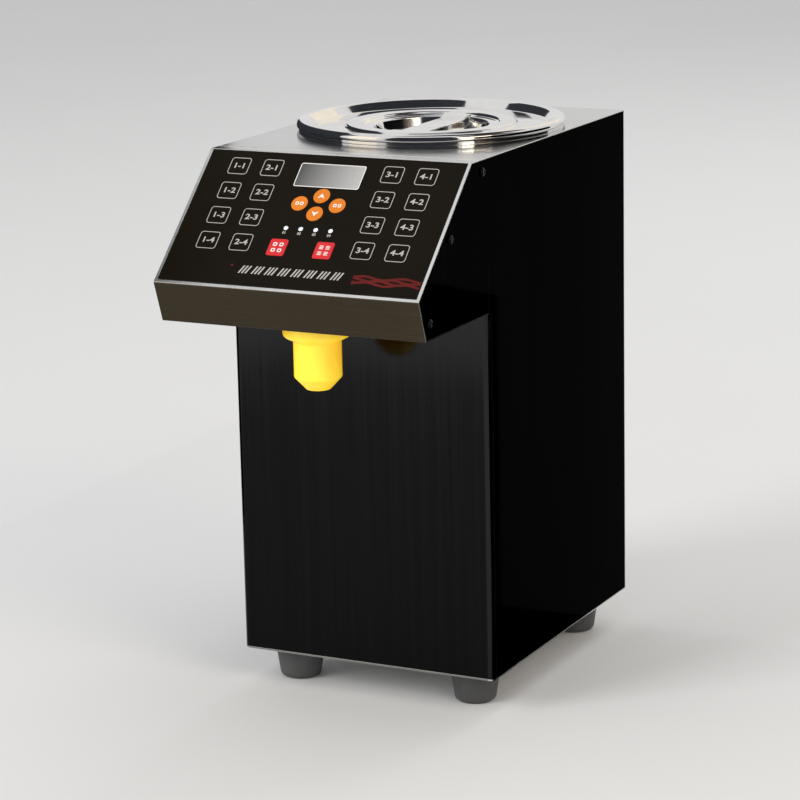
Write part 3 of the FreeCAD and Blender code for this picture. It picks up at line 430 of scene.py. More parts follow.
@dataclass(frozen=True)
class Polished(Finish):
    """Mirror-polished stainless, faintly smeared and a little wavy."""
    colour: Colour = (0.96, 0.95, 0.935)
    roughness: float = 0.05
    smear_scale: float = 26.0
    smear_roughness: float = 0.07
    smear_shade: float = 0.9
    wave_scale: float = 60.0
    wave_height: float = 0.05 * MM
    wave_strength: float = 0.5

    def shade(self, tree: Tree, shader: bpy.types.Node, place: bpy.types.NodeSocket) -> None:
        """A mirror with smears and a little waviness.

        Args:
            tree: the material's nodes.
            shader: its main shader.
            place: the point on the piece.
        """
        smudge = EFFECTS.smudge.place(tree, Vector=place, Scale=self.smear_scale)["Mask"]
        smeared = rgba(scaled(self.colour, self.smear_shade))
        tree.feed(shader.inputs["Base Color"], tree.mix(smudge, rgba(self.colour), smeared))
        tree.feed(shader.inputs["Roughness"],
                  tree.math("MULTIPLY_ADD", smudge, self.smear_roughness, self.roughness))
        shader.inputs["Metallic"].default_value = 1.0
        waves = tree.noise(place, self.wave_scale, 1.0)
        tree.relief(shader, waves, self.wave_strength, self.wave_height)


@dataclass(frozen=True)
class Plastic(Finish):
    """Moulded plastic, paint, rubber or film: a plain colour with its own grain."""
    colour: Colour
    roughness: float = 0.3
    grain_size: float = 1.0 * MM
    grain_depth: float = 0.01 * MM
    mottle: float = 0.06
    specular: float = 0.5
    coat: float = 0.0
    coat_roughness: float = 0.05
    glow: float = 0.0
    glow_depth: float = 2.0 * MM
    # emission: a glow painted onto the surface, not a lamp.
    emission: float = 0.0
    emission_colour: Colour | None = None
    edge_light: float = 0.0
    edge_pale: float = 0.25
    smear_scale: float = 30.0
    sheen_range: tuple[float, float] = (0.9, 1.15)
    grain_strength: float = 0.5
    glow_reach: Colour = (1.0, 0.7, 0.25)

    def shade(self, tree: Tree, shader: bpy.types.Node, place: bpy.types.NodeSocket) -> None:
        """A mottled colour, an uneven sheen and a fine grain.

        Args:
            tree: the material's nodes.
            shader: its main shader.
            place: the point on the piece.
        """
        grain = EFFECTS.grain.place(tree, Vector=place, Scale=1 / self.grain_size)["Height"]
        smudge = EFFECTS.smudge.place(tree, Vector=place, Scale=self.smear_scale)["Mask"]
        # Paler rounded edges: partly wear, partly a painted highlight, paler by edge_pale.
        wear_and_highlight_mask = EFFECTS.wear_and_highlight.place(tree, Vector=place, Amount=self.edge_light)["Mask"]
        colour = tree.mix(smudge, rgba(scaled(self.colour, 1 + self.mottle)),
                          rgba(scaled(self.colour, 1 - self.mottle)))
        light = tuple(part + (1 - part) * self.edge_pale for part in self.colour)
        colour = tree.mix(wear_and_highlight_mask, colour, rgba(light))
        tree.feed(shader.inputs["Base Color"], colour)
        sheens = (self.roughness * share for share in self.sheen_range)
        tree.feed(shader.inputs["Roughness"], tree.fit(smudge, 0.0, 1.0, *sheens))
        tree.relief(shader, grain, self.grain_strength, self.grain_depth)
        constants = {"Specular IOR Level": self.specular, "Coat Weight": self.coat,
                     "Coat Roughness": self.coat_roughness, "Subsurface Weight": self.glow,
                     "Subsurface Scale": self.glow_depth, "Emission Strength": self.emission,
                     "Emission Color": rgba(self.emission_colour or self.colour),
                     "Subsurface Radius": self.glow_reach}
        for label, value in constants.items():
            shader.inputs[label].default_value = value


@dataclass(frozen=True)
class DisplayGlass(Finish):
    """An unlit display behind clear film: grey, with a painted reflection that makes it lighter towards one side.
    """
    # dark and light: the two ends of the painted reflection's fade across the glass.
    dark: Colour = (0.067, 0.067, 0.069)
    light: Colour = (0.445, 0.445, 0.44)
    slant: float = -0.25
    reach: float = 29.0 * MM
    line_scale: tuple[float, float, float] = (60.0, 2500.0, 2500.0)
    line_colour: Colour = (0.1, 0.1, 0.1)
    line_strength: float = 0.12
    line_range: tuple[float, float] = (0.3, 0.7)
    sheen_range: tuple[float, float] = (0.16, 0.24)
    specular: float = 0.4

    def shade(self, tree: Tree, shader: bpy.types.Node, place: bpy.types.NodeSocket) -> None:
        """A soft slanted fade of painted reflection, with the very fine lines of the display's segments.

        Args:
            tree: the material's nodes.
            shader: its main shader.
            place: the point on the piece.
        """
        low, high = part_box("display_window")
        x, _, z = tree.split(tree.vector("SUBTRACT", place, (low + high) / 2))
        # Painted reflection of a soft light: lighter along a slant across the display.
        slanted = tree.math("ADD", x, tree.math("MULTIPLY", z, self.slant))
        level = tree.fit(slanted, -self.reach, self.reach)
        lines = tree.noise(tree.vector("MULTIPLY", place, self.line_scale), 1.0, 1.0)
        colour = tree.mix(level, rgba(self.dark), rgba(self.light))
        drawn = tree.fit(lines, *self.line_range, 0.0, self.line_strength)
        tree.feed(shader.inputs["Base Color"], tree.mix(drawn, colour, rgba(self.line_colour)))
        sheen = tree.fit(lines, *self.line_range, *self.sheen_range)
        tree.feed(shader.inputs["Roughness"], sheen)
        shader.inputs["Specular IOR Level"].default_value = self.specular


SLOTS: dict[str, str] = {part["node"]: part["material_slot"]
                         for part in frame["record"]["subparts"]}
LID_CENTRE = tuple(sum(corner[axis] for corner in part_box("tank_lid")) / 2 for axis in (0, 1))

FINISHES: dict[str, Finish] = {finish.name: finish for finish in (
    # Each entry's edge colour and amount paint paler rounded edges: partly wear, partly a painted highlight.
    Steel("black_steel", (0.025, 0.0255, 0.0265), 0.13, Marks.UPRIGHT, contrast=0.12,
          worn_and_lit_edge=(0.10, 0.10, 0.105), wear_and_highlight=0.7),
    Steel("brushed_stainless", (0.66, 0.66, 0.655), 0.16, Marks.LEVEL, mark_width=0.7 * MM,
          contrast=0.05, worn_and_lit_edge=(0.85, 0.85, 0.84), wear_and_highlight=0.8),
    Steel("gloss_black", (0.009, 0.009, 0.0095), 0.09, Marks.UPRIGHT, mark_width=4 * MM,
          mark_depth=0.002 * MM, contrast=0.05, worn_and_lit_edge=(0.055, 0.055, 0.06), wear_and_highlight=0.25,
          tint=(0.458, 0.458, 0.458)),
    # The lip's dark brown colour is partly a painted reflection: dark coated steel, tinted for the dark, warm
    # surroundings it mirrors.
    Steel("bronze_steel", (0.123, 0.098, 0.066), 0.24, Marks.LEVEL, contrast=0.05,
          worn_and_lit_edge=(0.30, 0.28, 0.25), wear_and_highlight=0.8),
    # The film's edge_light paints paler rounded edges: partly wear, partly a painted highlight.
    Plastic("keypad_film", (0.0065, 0.0045, 0.0022), 0.20, grain_size=1.6 * MM,
            grain_depth=0.004 * MM, specular=0.07, edge_light=0.12),
    DisplayGlass("display_window"),
    Plastic("display_module", (0.05, 0.05, 0.05), 0.5),
    Plastic("circuit_board", (0.015, 0.10, 0.045), 0.32, coat=0.4),
    Polished("polished_stainless"),
    Polished("bright_trim", (0.92, 0.92, 0.91), 0.16),
    Plastic("heater_silicone", (0.42, 0.09, 0.035), 0.55),
    Steel("fitting_steel", (0.55, 0.55, 0.54), 0.3, Marks.UPRIGHT),
    Plastic("clear_hose", (0.62, 0.63, 0.60), 0.25, glow=0.5),
    Steel("cast_aluminium", (0.60, 0.61, 0.62), 0.45, Marks.UPRIGHT, mark_length=2 * MM),
    Steel("gear_steel", (0.50, 0.50, 0.50), 0.25, Marks.LEVEL),
    Steel("motor_shell", (0.28, 0.29, 0.30), 0.35, Marks.LEVEL),
    # The yellow plastic's amber emission is painted light: a glow of its own that paints warm shade and light
    # through its walls.
    Plastic("yellow_plastic", (1.0, 0.86, 0.07), 0.28, grain_size=1.2 * MM,
            grain_depth=0.006 * MM, mottle=0.02, glow=0.5, glow_depth=8.0 * MM,
            emission=0.32, emission_colour=(1.0, 0.31, 0.0)),
    Plastic("fitting_plastic", (0.74, 0.74, 0.71), 0.4, glow=0.2),
    Steel("supply_case", (0.58, 0.59, 0.60), 0.38, Marks.DEPTH),
    Plastic("black_plastic", (0.012, 0.012, 0.012), 0.42, grain_depth=0.02 * MM),
    Plastic("red_rocker", (0.50, 0.012, 0.010), 0.25, glow=0.2),
    Plastic("orange_key", (0.66, 0.18, 0.008), 0.30, grain_size=1.6 * MM,
            grain_depth=0.004 * MM, specular=0.35),
    Plastic("red_key", (0.58, 0.018, 0.022), 0.30, grain_size=1.6 * MM,
            grain_depth=0.004 * MM, specular=0.35),
    Plastic("grey_rubber", (0.064, 0.064, 0.065), 0.62, grain_size=0.8 * MM,
            grain_depth=0.03 * MM, mottle=0.12),
    Steel("zinc_screws", (0.62, 0.63, 0.64), 0.32, Marks.ROUND),
    Steel("black_screws", (0.018, 0.018, 0.02), 0.30, Marks.UPRIGHT, contrast=0.1,
          worn_and_lit_edge=(0.20, 0.20, 0.21), wear_and_highlight=0.5),
    Plastic("white_print", (0.80, 0.79, 0.76), 0.45),
    Plastic("grey_print", (0.42, 0.405, 0.385), 0.45),
    Plastic("red_print", (0.105, 0.007, 0.006), 0.45, specular=0.2),
    # The lenses' emission is a painted glow: no lamp is lit behind them.
    Plastic("lamp_lens", (0.92, 0.92, 0.90), 0.25, glow=0.5, emission=0.25),
)}


# ---------------------------------------------------------------- the sloped panel's frame
def extent(points: Sequence[Vector]) -> tuple[Vector, Vector]:
    """Lowest and highest corner of some points."""
    return tuple(Vector([pick(point[axis] for point in points) for axis in range(3)])
                 for pick in (min, max))


@dataclass(frozen=True)
class Slope:
    """The sloped panel's own axes: u to the right, v down the slope, height off the film."""
    origin: Vector
    down: Vector
    normal: Vector

    @classmethod
    def of_film(cls) -> "Slope":
        """The axes on the keypad film's face, from its upper edge's middle.

        Returns:
            The slope's axes.
        """
        press = next(joint for joint in frame["joints"] if joint["name"] == "key_up_press")
        normal = -Vector(press["axis"])
        down = Vector((0.0, -normal.z, normal.y))
        rough = cls(Vector(), down, normal)
        low, high = rough.span("keypad_film")
        return cls(down * low.y + normal * high.z, down, normal)

    def local(self, point: Vector) -> Vector:
        """A point's u, v and height."""
        offset = point - self.origin
        return Vector((offset.x, offset.dot(self.down), offset.dot(self.normal)))

    def span(self, node: str) -> tuple[Vector, Vector]:
        """Lowest and highest u, v and height of a CAD node."""
        return extent([self.local(vertex.co) for vertex in frame["nodes"][node].data.vertices])

    def matrix(self, u: float = 0.0, v: float = 0.0, height: float = 0.0) -> Matrix:
        """Moves a flat drawing (X right, Y up the slope, Z off it) to a place on the slope.

        Args:
            u: how far right.
            v: how far down the slope.
            height: how far off the film.

        Returns:
            The move.
        """
        place = self.origin + Vector((u, 0, 0)) + self.down * v + self.normal * height
        turn = Matrix((Vector((1, 0, 0)), -self.down, self.normal)).transposed()
        return Matrix.Translation(place) @ turn.to_4x4()


SLOPE = Slope.of_film()


# ---------------------------------------------------------------- mesh helpers
def new_object(name: str, data: bpy.types.ID) -> bpy.types.Object:
    """An object in the scene, at the origin.

    Args:
        name: the object's name.
        data: its mesh, lamp or camera.

    Returns:
        The object.
    """
    made = bpy.data.objects.new(name, data)
    bpy.context.scene.collection.objects.link(made)
    return made


def to_mesh(work: bmesh.types.BMesh, name: str) -> bpy.types.Mesh:
    """Turns finished mesh work into a mesh, and frees it.

    Args:
        work: the finished work.
        name: the mesh's name.

    Returns:
        The mesh.
    """
    mesh = bpy.data.meshes.new(name)
    work.to_mesh(mesh)
    work.free()
    return mesh


def cad_copy(node: str) -> bmesh.types.BMesh:
    """A CAD node's mesh to work on, its triangles joined.

    Args:
        node: the CAD node.

    Returns:
        The copy.
    """
    work = bmesh.new()
    work.from_mesh(frame["nodes"][node].data)
    bmesh.ops.remove_doubles(work, verts=work.verts, dist=SAME_POINT)
    return work


def carve(made: bpy.types.Object, cutter: bpy.types.Object, crossed: bool = False) -> None:
    """Cuts another object's shape out of a piece.

    Args:
        made: the piece.
        cutter: the shape, which has to stay until the piece is settled.
        crossed: whether the shape's own parts cross one another.
    """
    cut = made.modifiers.new("cut", "BOOLEAN")
    cut.operation = "DIFFERENCE"
    cut.solver = "EXACT"
    cut.use_self = crossed
    cut.object = cutter


def baked(made: bpy.types.Object) -> bpy.types.Mesh:
    """The object's mesh with its modifiers applied.

    Args:
        made: the object.

    Returns:
        A new mesh.
    """
    bpy.context.view_layer.update()
    evaluated = made.evaluated_get(bpy.context.evaluated_depsgraph_get())
    return bpy.data.meshes.new_from_object(evaluated)


def settle(made: bpy.types.Object) -> bpy.types.Object:
    """Applies the object's modifiers and removes them.

    Args:
        made: a mesh object.

    Returns:
        The same object, with a plain mesh.
    """
    mesh = baked(made)
    made.modifiers.clear()
    made.data = mesh
    return made


def dress(made: bpy.types.Object, finish: str, body: str = HOUSING,
          stands_for: Sequence[str] = ()) -> bpy.types.Object:
    """Gives a piece its finish and its place in the frame.

    Args:
        made: the finished piece.
        finish: the name of its finish.
        body: the CAD body that it moves with.
        stands_for: the CAD nodes that the piece replaces.

    Returns:
        The same piece.
    """
    made.data.materials.clear()
    made.data.materials.append(FINISHES[finish].material())
    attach(made, body)
    if stands_for:
        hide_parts(*stands_for)
    log.info("%s: %d faces on %s", made.name, len(made.data.polygons), body)
    return made


def flat_text(name: str, text: str, size: float, weight: float,
              thickness: float) -> bpy.types.Mesh:
    """A plain label as a thin mesh, centred on its own origin.

    Args:
        name: the mesh's name.
        text: what it says.
        size: the letters' body height.
        weight: how much each stroke is widened on each side.
        thickness: the print's thickness.

    Returns:
        The label's mesh.
    """
    curve = bpy.data.curves.new(name, "FONT")
    curve.body = text
    curve.size = size
    curve.offset = weight
    curve.extrude = thickness / 2
    curve.resolution_u = 4
    curve.align_x = "CENTER"
    curve.align_y = "CENTER"
    holder = new_object(name, curve)
    mesh = baked(holder)
    bpy.data.objects.remove(holder)
    return mesh


def merged(name: str, meshes: Iterable[tuple[bpy.types.Mesh, Matrix]],
           smooth: bool = False) -> bpy.types.Object:
    """Several meshes moved to their places and joined into one piece.

    Args:
        name: the piece's name.
        meshes: each mesh with its place.
        smooth: whether its faces are shaded as round.

    Returns:
        The piece.
    """
    joined = bmesh.new()
    for mesh, place in meshes:
        start = len(joined.verts)
        joined.from_mesh(mesh)
        joined.verts.ensure_lookup_table()
        bmesh.ops.transform(joined, matrix=place, verts=joined.verts[start:])
    mesh = to_mesh(joined, name)
    for face in mesh.polygons:
        face.use_smooth = smooth
    return new_object(name, mesh)


def joined_in_place(name: str, meshes: Iterable[bpy.types.Mesh],
                    smooth: bool = False) -> bpy.types.Object:
    """Several meshes joined into one piece where they are."""
    return merged(name, [(mesh, Matrix()) for mesh in meshes], smooth)


def block_mesh(name: str, low: Sequence[float], high: Sequence[float]) -> bpy.types.Mesh:
    """A plain box between two corners.

    Args:
        name: the mesh's name.
        low: its lowest corner.
        high: its highest corner.

    Returns:
        The box.
    """
    work = bmesh.new()
    bmesh.ops.create_cube(work, size=1.0)
    for vertex in work.verts:
        vertex.co = Vector([(low, high)[vertex.co[axis] > 0][axis] for axis in range(3)])
    for edge in work.edges:
        edge.smooth = False
    return to_mesh(work, name)


def upright_mesh(name: str, outline: Sequence[Vector], low: float, high: float
                 ) -> bpy.types.Mesh:
    """A plan carried up from one height to another.

    Args:
        name: the mesh's name.
        outline: the plan's corners, in X and Y.
        low: height of its foot.
        high: height of its top.

    Returns:
        A closed mesh with its faces outwards.
    """
    work = bmesh.new()
    foot, top = ([work.verts.new((point.x, point.y, z)) for point in outline]
                 for z in (low, high))
    for index in range(len(outline)):
        after = (index + 1) % len(outline)
        work.faces.new((foot[index], foot[after], top[after], top[index]))
    work.faces.new(foot)
    work.faces.new(top)
    bmesh.ops.recalc_face_normals(work, faces=work.faces)
    for edge in work.edges:
        edge.smooth = edge.calc_face_angle() < SHARP
    return to_mesh(work, name)


def weigh_normals(made: bpy.types.Object) -> None:
    """Keeps large faces flat in shading where narrow rounded ones meet them.

    Args:
        made: the piece.
    """
    weigh = made.modifiers.new("normals", "WEIGHTED_NORMAL")
    weigh.mode = "FACE_AREA"
    weigh.weight = 100
    weigh.keep_sharp = True


def softened(node: str, radius: float, segments: int = 2, name: str = "",
             groove: bpy.types.Object | None = None) -> bpy.types.Object:
    """A copy of a CAD node with its sharp edges rounded and marked for paler edges: partly wear, partly a painted
    highlight.

    Args:
        node: the CAD node.
        radius: how far each edge is cut back.
        segments: faces across each rounded edge.
        name: the copy's name, or none for the node's name and a suffix.
        groove: a shape to cut out of the copy first, which is then removed.

    Returns:
        The copy, at the origin. Its "edge" attribute is 1 on the rounded edges.
    """
    flat, corner = math.radians(0.5), math.radians(32.0)
    name = name or f"{node}_soft"
    work = cad_copy(node)
    bmesh.ops.dissolve_limit(work, angle_limit=flat, verts=work.verts, edges=work.edges)
    mesh = to_mesh(work, name)
    made = new_object(name, mesh)
    for slot in ("plain", "edge"):
        mesh.materials.append(bpy.data.materials.get(slot) or bpy.data.materials.new(slot))
    for face in mesh.polygons:
        face.material_index = 0
        face.use_smooth = True
    if groove:
        carve(made, groove)
    bevel = made.modifiers.new("edges", "BEVEL")
    bevel.width = radius
    bevel.segments = segments
    bevel.limit_method = "ANGLE"
    bevel.angle_limit = corner
    bevel.use_clamp_overlap = False
    bevel.material = 1
    weigh_normals(made)
    settle(made)
    if groove:
        bpy.data.objects.remove(groove)
    edge = made.data.attributes.new("edge", "FLOAT", "FACE")
    for index, face in enumerate(made.data.polygons):
        edge.data[index].value = float(face.material_index == 1)
        face.material_index = 0
    return made


@dataclass(frozen=True)
class Corner:
    """A corner of a turned section: its radius and height, and how much it is rounded."""
    radius: float
    height: float
    round: float = 0.0

    @property
    def place(self) -> Vector:
        """The corner as a point of the section's plane."""
        return Vector((self.radius, self.height))


@dataclass(frozen=True)
class Turned:
    """A closed section turned round an upright axis."""
    corners: tuple[Corner, ...]
    steps: int = 96
    arc_steps: int = 6

    @classmethod
    def of_sheet(cls, path: Sequence[Corner], sheet: float, steps: int,
                 arc_steps: int) -> "Turned":
        """A formed sheet's section: its face runs along the path, its back is on the path's left.

        Args:
            path: the face's corners, from the sheet's outer edge to its inner one.
            sheet: the sheet's thickness.
            steps: faces round the axis.
            arc_steps: faces across each rounded corner.

        Returns:
            The closed section.
        """
        points = [corner.place for corner in path]
        ways = [(after - before).normalized() for before, after in zip(points, points[1:])]
        lefts = [Vector((-way.y, way.x)) for way in ways]
        back = []
        for index, (corner, point) in enumerate(zip(path, points)):
            first, second = lefts[max(index - 1, 0)], lefts[min(index, len(lefts) - 1)]
            moved = point + (first + second) * (sheet / (1 + first.dot(second)))
            turning = first.cross(second) if 0 < index < len(points) - 1 else 0.0
            rounded = corner.round - math.copysign(sheet, turning) if turning else 0.0
            back.append(Corner(moved.x, moved.y, max(rounded, 0.0)))
        return cls((*path, *reversed(back)), steps, arc_steps)

    def outline(self) -> list[Vector]:
        """The section's points, with each corner's arc.

        Returns:
            The points, in order round the section.
        """
        points: list[Vector] = []
        count = len(self.corners)
        for index, corner in enumerate(self.corners):
            here = corner.place
            back = (self.corners[index - 1].place - here).normalized()
            ahead = (self.corners[(index + 1) % count].place - here).normalized()
            if corner.round <= 0:
                points.append(here)
                continue
            half = back.angle(ahead) / 2
            setback = corner.round / math.tan(half)
            centre = here + (back + ahead).normalized() * (corner.round / math.sin(half))
            first = here + back * setback - centre
            last = here + ahead * setback - centre
            turn = first.angle_signed(last)
            for step in range(self.arc_steps + 1):
                spin = Matrix.Rotation(-turn * step / self.arc_steps, 2)
                points.append(centre + spin @ first)
        return points

    def mesh(self, name: str, centre: Vector) -> bpy.types.Mesh:
        """The turned solid's mesh.

        Args:
            name: the mesh's name.
            centre: where the axis meets the section's zero height.

        Returns:
            A closed mesh with its faces outwards.
        """
        on_axis = 1e-7
        points = self.outline()
        area = sum(a.x * b.y - b.x * a.y for a, b in zip(points, points[1:] + points[:1]))
        if area < 0:
            points.reverse()
        work = bmesh.new()
        rings = []
        for point in points:
            if point.x < on_axis:
                rings.append([work.verts.new(centre + Vector((0, 0, point.y)))] * self.steps)
                continue
            angles = (2 * math.pi * step / self.steps for step in range(self.steps))
            rings.append([work.verts.new(centre + Vector((point.x * math.cos(angle),
                                                          point.x * math.sin(angle), point.y)))
                          for angle in angles])
        for lower, upper in zip(rings, rings[1:] + rings[:1]):
            for step in range(self.steps):
                after = (step + 1) % self.steps
                loop = [lower[step], lower[after], upper[after], upper[step]]
                corners = list(dict.fromkeys(loop))
                if len(corners) > 2:
                    work.faces.new(corners)
        for edge in work.edges:
            edge.smooth = not edge.is_manifold or edge.calc_face_angle() < SHARP
        for face in work.faces:
            face.smooth = True
        return to_mesh(work, name)

    def piece(self, name: str, centre: Vector) -> bpy.types.Object:
        """The turned solid as an object."""
        return new_object(name, self.mesh(name, centre))


# ---------------------------------------------------------------- geometry nodes
class GeometryTree(Tree):
    """A Geometry Nodes tree that ends in Realize Instances and Set Material."""

    KINDS = {float: "NodeSocketFloat", int: "NodeSocketInt",
             bpy.types.Object: "NodeSocketObject", bpy.types.Material: "NodeSocketMaterial"}

    def __init__(self, name: str, sizes: dict[str, type]) -> None:
        """Makes the tree with its named inputs.

        Args:
            name: the tree's name.
            sizes: the type of each named input.
        """
        data = bpy.data.node_groups.new(name, "GeometryNodeTree")
        super().__init__(data)
        face = data.interface
        face.new_socket("Geometry", in_out="INPUT", socket_type="NodeSocketGeometry")
        self.keys = {}
        for label, kind in {**sizes, "Finish": bpy.types.Material}.items():
            socket = face.new_socket(label, in_out="INPUT", socket_type=self.KINDS[kind])
            self.keys[label] = socket.identifier
        face.new_socket("Geometry", in_out="OUTPUT", socket_type="NodeSocketGeometry")
        self.ins = self.add("NodeGroupInput").outputs

    def rectangle(self, width: Any, height: Any) -> bpy.types.NodeSocket:
        """A rectangular curve round the origin."""
        return self.add("GeometryNodeCurvePrimitiveQuadrilateral",
                        {"Width": width, "Height": height}).outputs[0]

    def fillet(self, curve: bpy.types.NodeSocket, radius: Any, count: int,
               limited: bool = False) -> bpy.types.NodeSocket:
        """A curve with its corners rounded by an arc of so many points.

        Args:
            curve: the curve.
            radius: the arcs' radius.
            count: points on each arc.
            limited: whether short sides limit the radius.

        Returns:
            The rounded curve.
        """
        return self.add("GeometryNodeFilletCurve",
                        {"Curve": curve, "Radius": radius, "Count": count,
                         "Limit Radius": limited}, mode="POLY").outputs[0]

    def sweep(self, curve: bpy.types.NodeSocket, section: bpy.types.NodeSocket,
              capped: bool = False) -> bpy.types.NodeSocket:
        """A section carried along a curve."""
        return self.add("GeometryNodeCurveToMesh", {"Curve": curve, "Profile Curve": section,
                                                    "Fill Caps": capped}).outputs[0]

    def shift(self, geometry: bpy.types.NodeSocket,
              offset: bpy.types.NodeSocket) -> bpy.types.NodeSocket:
        """Moves each point by its own offset."""
        return self.add("GeometryNodeSetPosition",
                        {"Geometry": geometry, "Offset": offset}).outputs[0]

    def put(self, shape: bpy.types.NodeSocket, points: bpy.types.NodeSocket,
            **settings: Any) -> bpy.types.NodeSocket:
        """Copies of a shape on points, with more of the node's inputs by name."""
        return self.add("GeometryNodeInstanceOnPoints",
                        {"Points": points, "Instance": shape, **settings}).outputs[0]

    def close(self, geometry: bpy.types.NodeSocket) -> "GeometryTree":
        """Realises what was made, gives it the Finish input's material and puts it out.

        Args:
            geometry: what was made.

        Returns:
            The tree itself.
        """
        real = self.add("GeometryNodeRealizeInstances", {0: geometry}).outputs[0]
        dressed = self.add("GeometryNodeSetMaterial", {"Geometry": real,
                                                       "Material": self.ins["Finish"]})
        self.add("NodeGroupOutput", {0: dressed.outputs[0]})
        return self

    def run(self, name: str, base: bpy.types.Mesh | None, **sizes: Any) -> bpy.types.Mesh:
        """Evaluates the tree.

        Args:
            name: the resulting mesh's name.
            base: the mesh that the tree starts from, or none.
            sizes: a value for each named input.

        Returns:
            A plain mesh.
        """
        holder = new_object(name, base or bpy.data.meshes.new(name))
        modifier = holder.modifiers.new("made", "NODES")
        modifier.node_group = self.tree
        for label, value in sizes.items():
            modifier[self.keys[label]] = value
        mesh = baked(holder)
        mesh.name = name
        bpy.data.objects.remove(holder)
        return mesh


def ring_tree() -> GeometryTree:
    """A flat rounded frame: the printed outline of a key or window.

    Returns:
        The tree.
    """
    tree = GeometryTree("printed_outline", {"Width": float, "Height": float, "Corner": float,
                                            "Line": float, "Thickness": float})
    ins, arc_points = tree.ins, 8
    path = tree.rectangle(tree.math("SUBTRACT", ins["Width"], ins["Line"]),
                          tree.math("SUBTRACT", ins["Height"], ins["Line"]))
    section = tree.rectangle(ins["Line"], ins["Thickness"])
    return tree.close(tree.sweep(tree.fillet(path, ins["Corner"], arc_points), section))


def hatch_tree() -> GeometryTree:
    """A row of printed hatch marks: Count groups of slanted strokes.

    Returns:
        The tree.
    """
    tree = GeometryTree("printed_hatch", {"Count": int, "Pitch": float, "Strokes": int,
                                          "Step": float, "Height": float, "Line": float,
                                          "Slant": float, "Thickness": float})
    ins = tree.ins

    def row(count: Any, step: Any, shape: bpy.types.NodeSocket) -> bpy.types.NodeSocket:
        """Copies of a shape in a centred row.

        Args:
            count: how many copies.
            step: the distance between them.
            shape: what is copied.

        Returns:
            The row.
        """
        back = tree.math("MULTIPLY", tree.math("SUBTRACT", count, 1.0), -0.5)
        line = tree.add("GeometryNodeMeshLine", {
            "Count": count, "Start Location": tree.combine(tree.math("MULTIPLY", back, step)),
            "Offset": tree.combine(step)}).outputs["Mesh"]
        return tree.add("GeometryNodeRealizeInstances", {0: tree.put(shape, line)}).outputs[0]

    size = tree.combine(ins["Line"], ins["Height"], ins["Thickness"])
    stroke = tree.add("GeometryNodeMeshCube", {"Size": size}).outputs["Mesh"]
    groups = row(ins["Count"], ins["Pitch"], row(ins["Strokes"], ins["Step"], stroke))
    height = tree.split(tree.add("GeometryNodeInputPosition").outputs[0])[1]
    lean = tree.combine(tree.math("MULTIPLY", height, ins["Slant"]))
    return tree.close(tree.shift(groups, lean))


def wave_tree() -> GeometryTree:
    """A printed stripe that runs along X in a gentle wave.

    Returns:
        The tree.
    """
    tree = GeometryTree("printed_wave", {"Length": float, "Swing": float, "Waves": float,
                                         "Phase": float, "Line": float, "Thickness": float})
    ins, points = tree.ins, 72
    half = tree.math("MULTIPLY", ins["Length"], 0.5)
    path = tree.add("GeometryNodeCurvePrimitiveLine", {
        "Start": tree.combine(tree.math("MULTIPLY", half, -1.0)), "End": tree.combine(half)})
    fine = tree.add("GeometryNodeResampleCurve", {"Curve": path.outputs[0], "Count": points})
    along = tree.add("GeometryNodeSplineParameter").outputs["Factor"]
    turns = tree.math("MULTIPLY", along, ins["Waves"])
    angle = tree.math("ADD", tree.math("MULTIPLY", turns, 2 * math.pi), ins["Phase"])
    rise = tree.math("MULTIPLY", tree.math("SINE", angle), ins["Swing"])
    waved = tree.shift(fine.outputs[0], tree.combine(0.0, rise))
    section = tree.rectangle(ins["Line"], ins["Thickness"])
    return tree.close(tree.sweep(waved, section, capped=True))


def strip_tree() -> GeometryTree:
    """A flat strip with rounded edges, bent along the corners of the given line.

    Returns:
        The tree.
    """
    tree = GeometryTree("bent_strip", {"Width": float, "Thickness": float, "Edge": float,
                                       "Bend": float})
    ins, bend_points, edge_points = tree.ins, 10, 5
    line = tree.add("GeometryNodeMeshToCurve", {0: ins["Geometry"]}).outputs[0]
    bent = tree.fillet(line, ins["Bend"], bend_points, limited=True)
    upright = tree.add("GeometryNodeSetCurveNormal", {0: bent}, mode="Z_UP").outputs[0]
    flat = tree.rectangle(ins["Width"], ins["Thickness"])
    section = tree.fillet(flat, ins["Edge"], edge_points)
    solid = tree.sweep(upright, section, capped=True)
    return tree.close(tree.add("GeometryNodeSetShadeSmooth", {0: solid}).outputs[0])


def screws_tree() -> GeometryTree:
    """Screws on points: a head and a shank, along each point's own axis and length.

    Returns:
        The tree.
    """
    tree = GeometryTree("screws", {"Head": bpy.types.Object, "Shank": bpy.types.Object,
                                   "Seed": int})
    ins = tree.ins
    axis = tree.add("GeometryNodeInputNamedAttribute", {"Name": "axis"},
                    data_type="FLOAT_VECTOR").outputs[0]
    length = tree.add("GeometryNodeInputNamedAttribute", {"Name": "shank"},
                      data_type="FLOAT").outputs[0]
    turn = tree.add("FunctionNodeAlignRotationToVector", {"Vector": axis}, axis="Z").outputs[0]
    draw = tree.add("FunctionNodeRandomValue", {"Seed": ins["Seed"]}, data_type="FLOAT")
    draw.inputs[3].default_value = math.pi / 2
    spin = tree.combine(0.0, 0.0, draw.outputs[1])
    joined = tree.add("GeometryNodeJoinGeometry")
    for label, scale in (("Head", (1.0, 1.0, 1.0)), ("Shank", tree.combine(1.0, 1.0, length))):
        shape = tree.add("GeometryNodeObjectInfo", {"Object": ins[label]}).outputs["Geometry"]
        placed = tree.put(shape, ins["Geometry"], Rotation=turn, Scale=scale)
        turned = tree.add("GeometryNodeRotateInstances", {"Instances": placed, "Rotation": spin})
        tree.feed(joined.inputs[0], turned.outputs[0])
    return tree.close(joined.outputs[0])


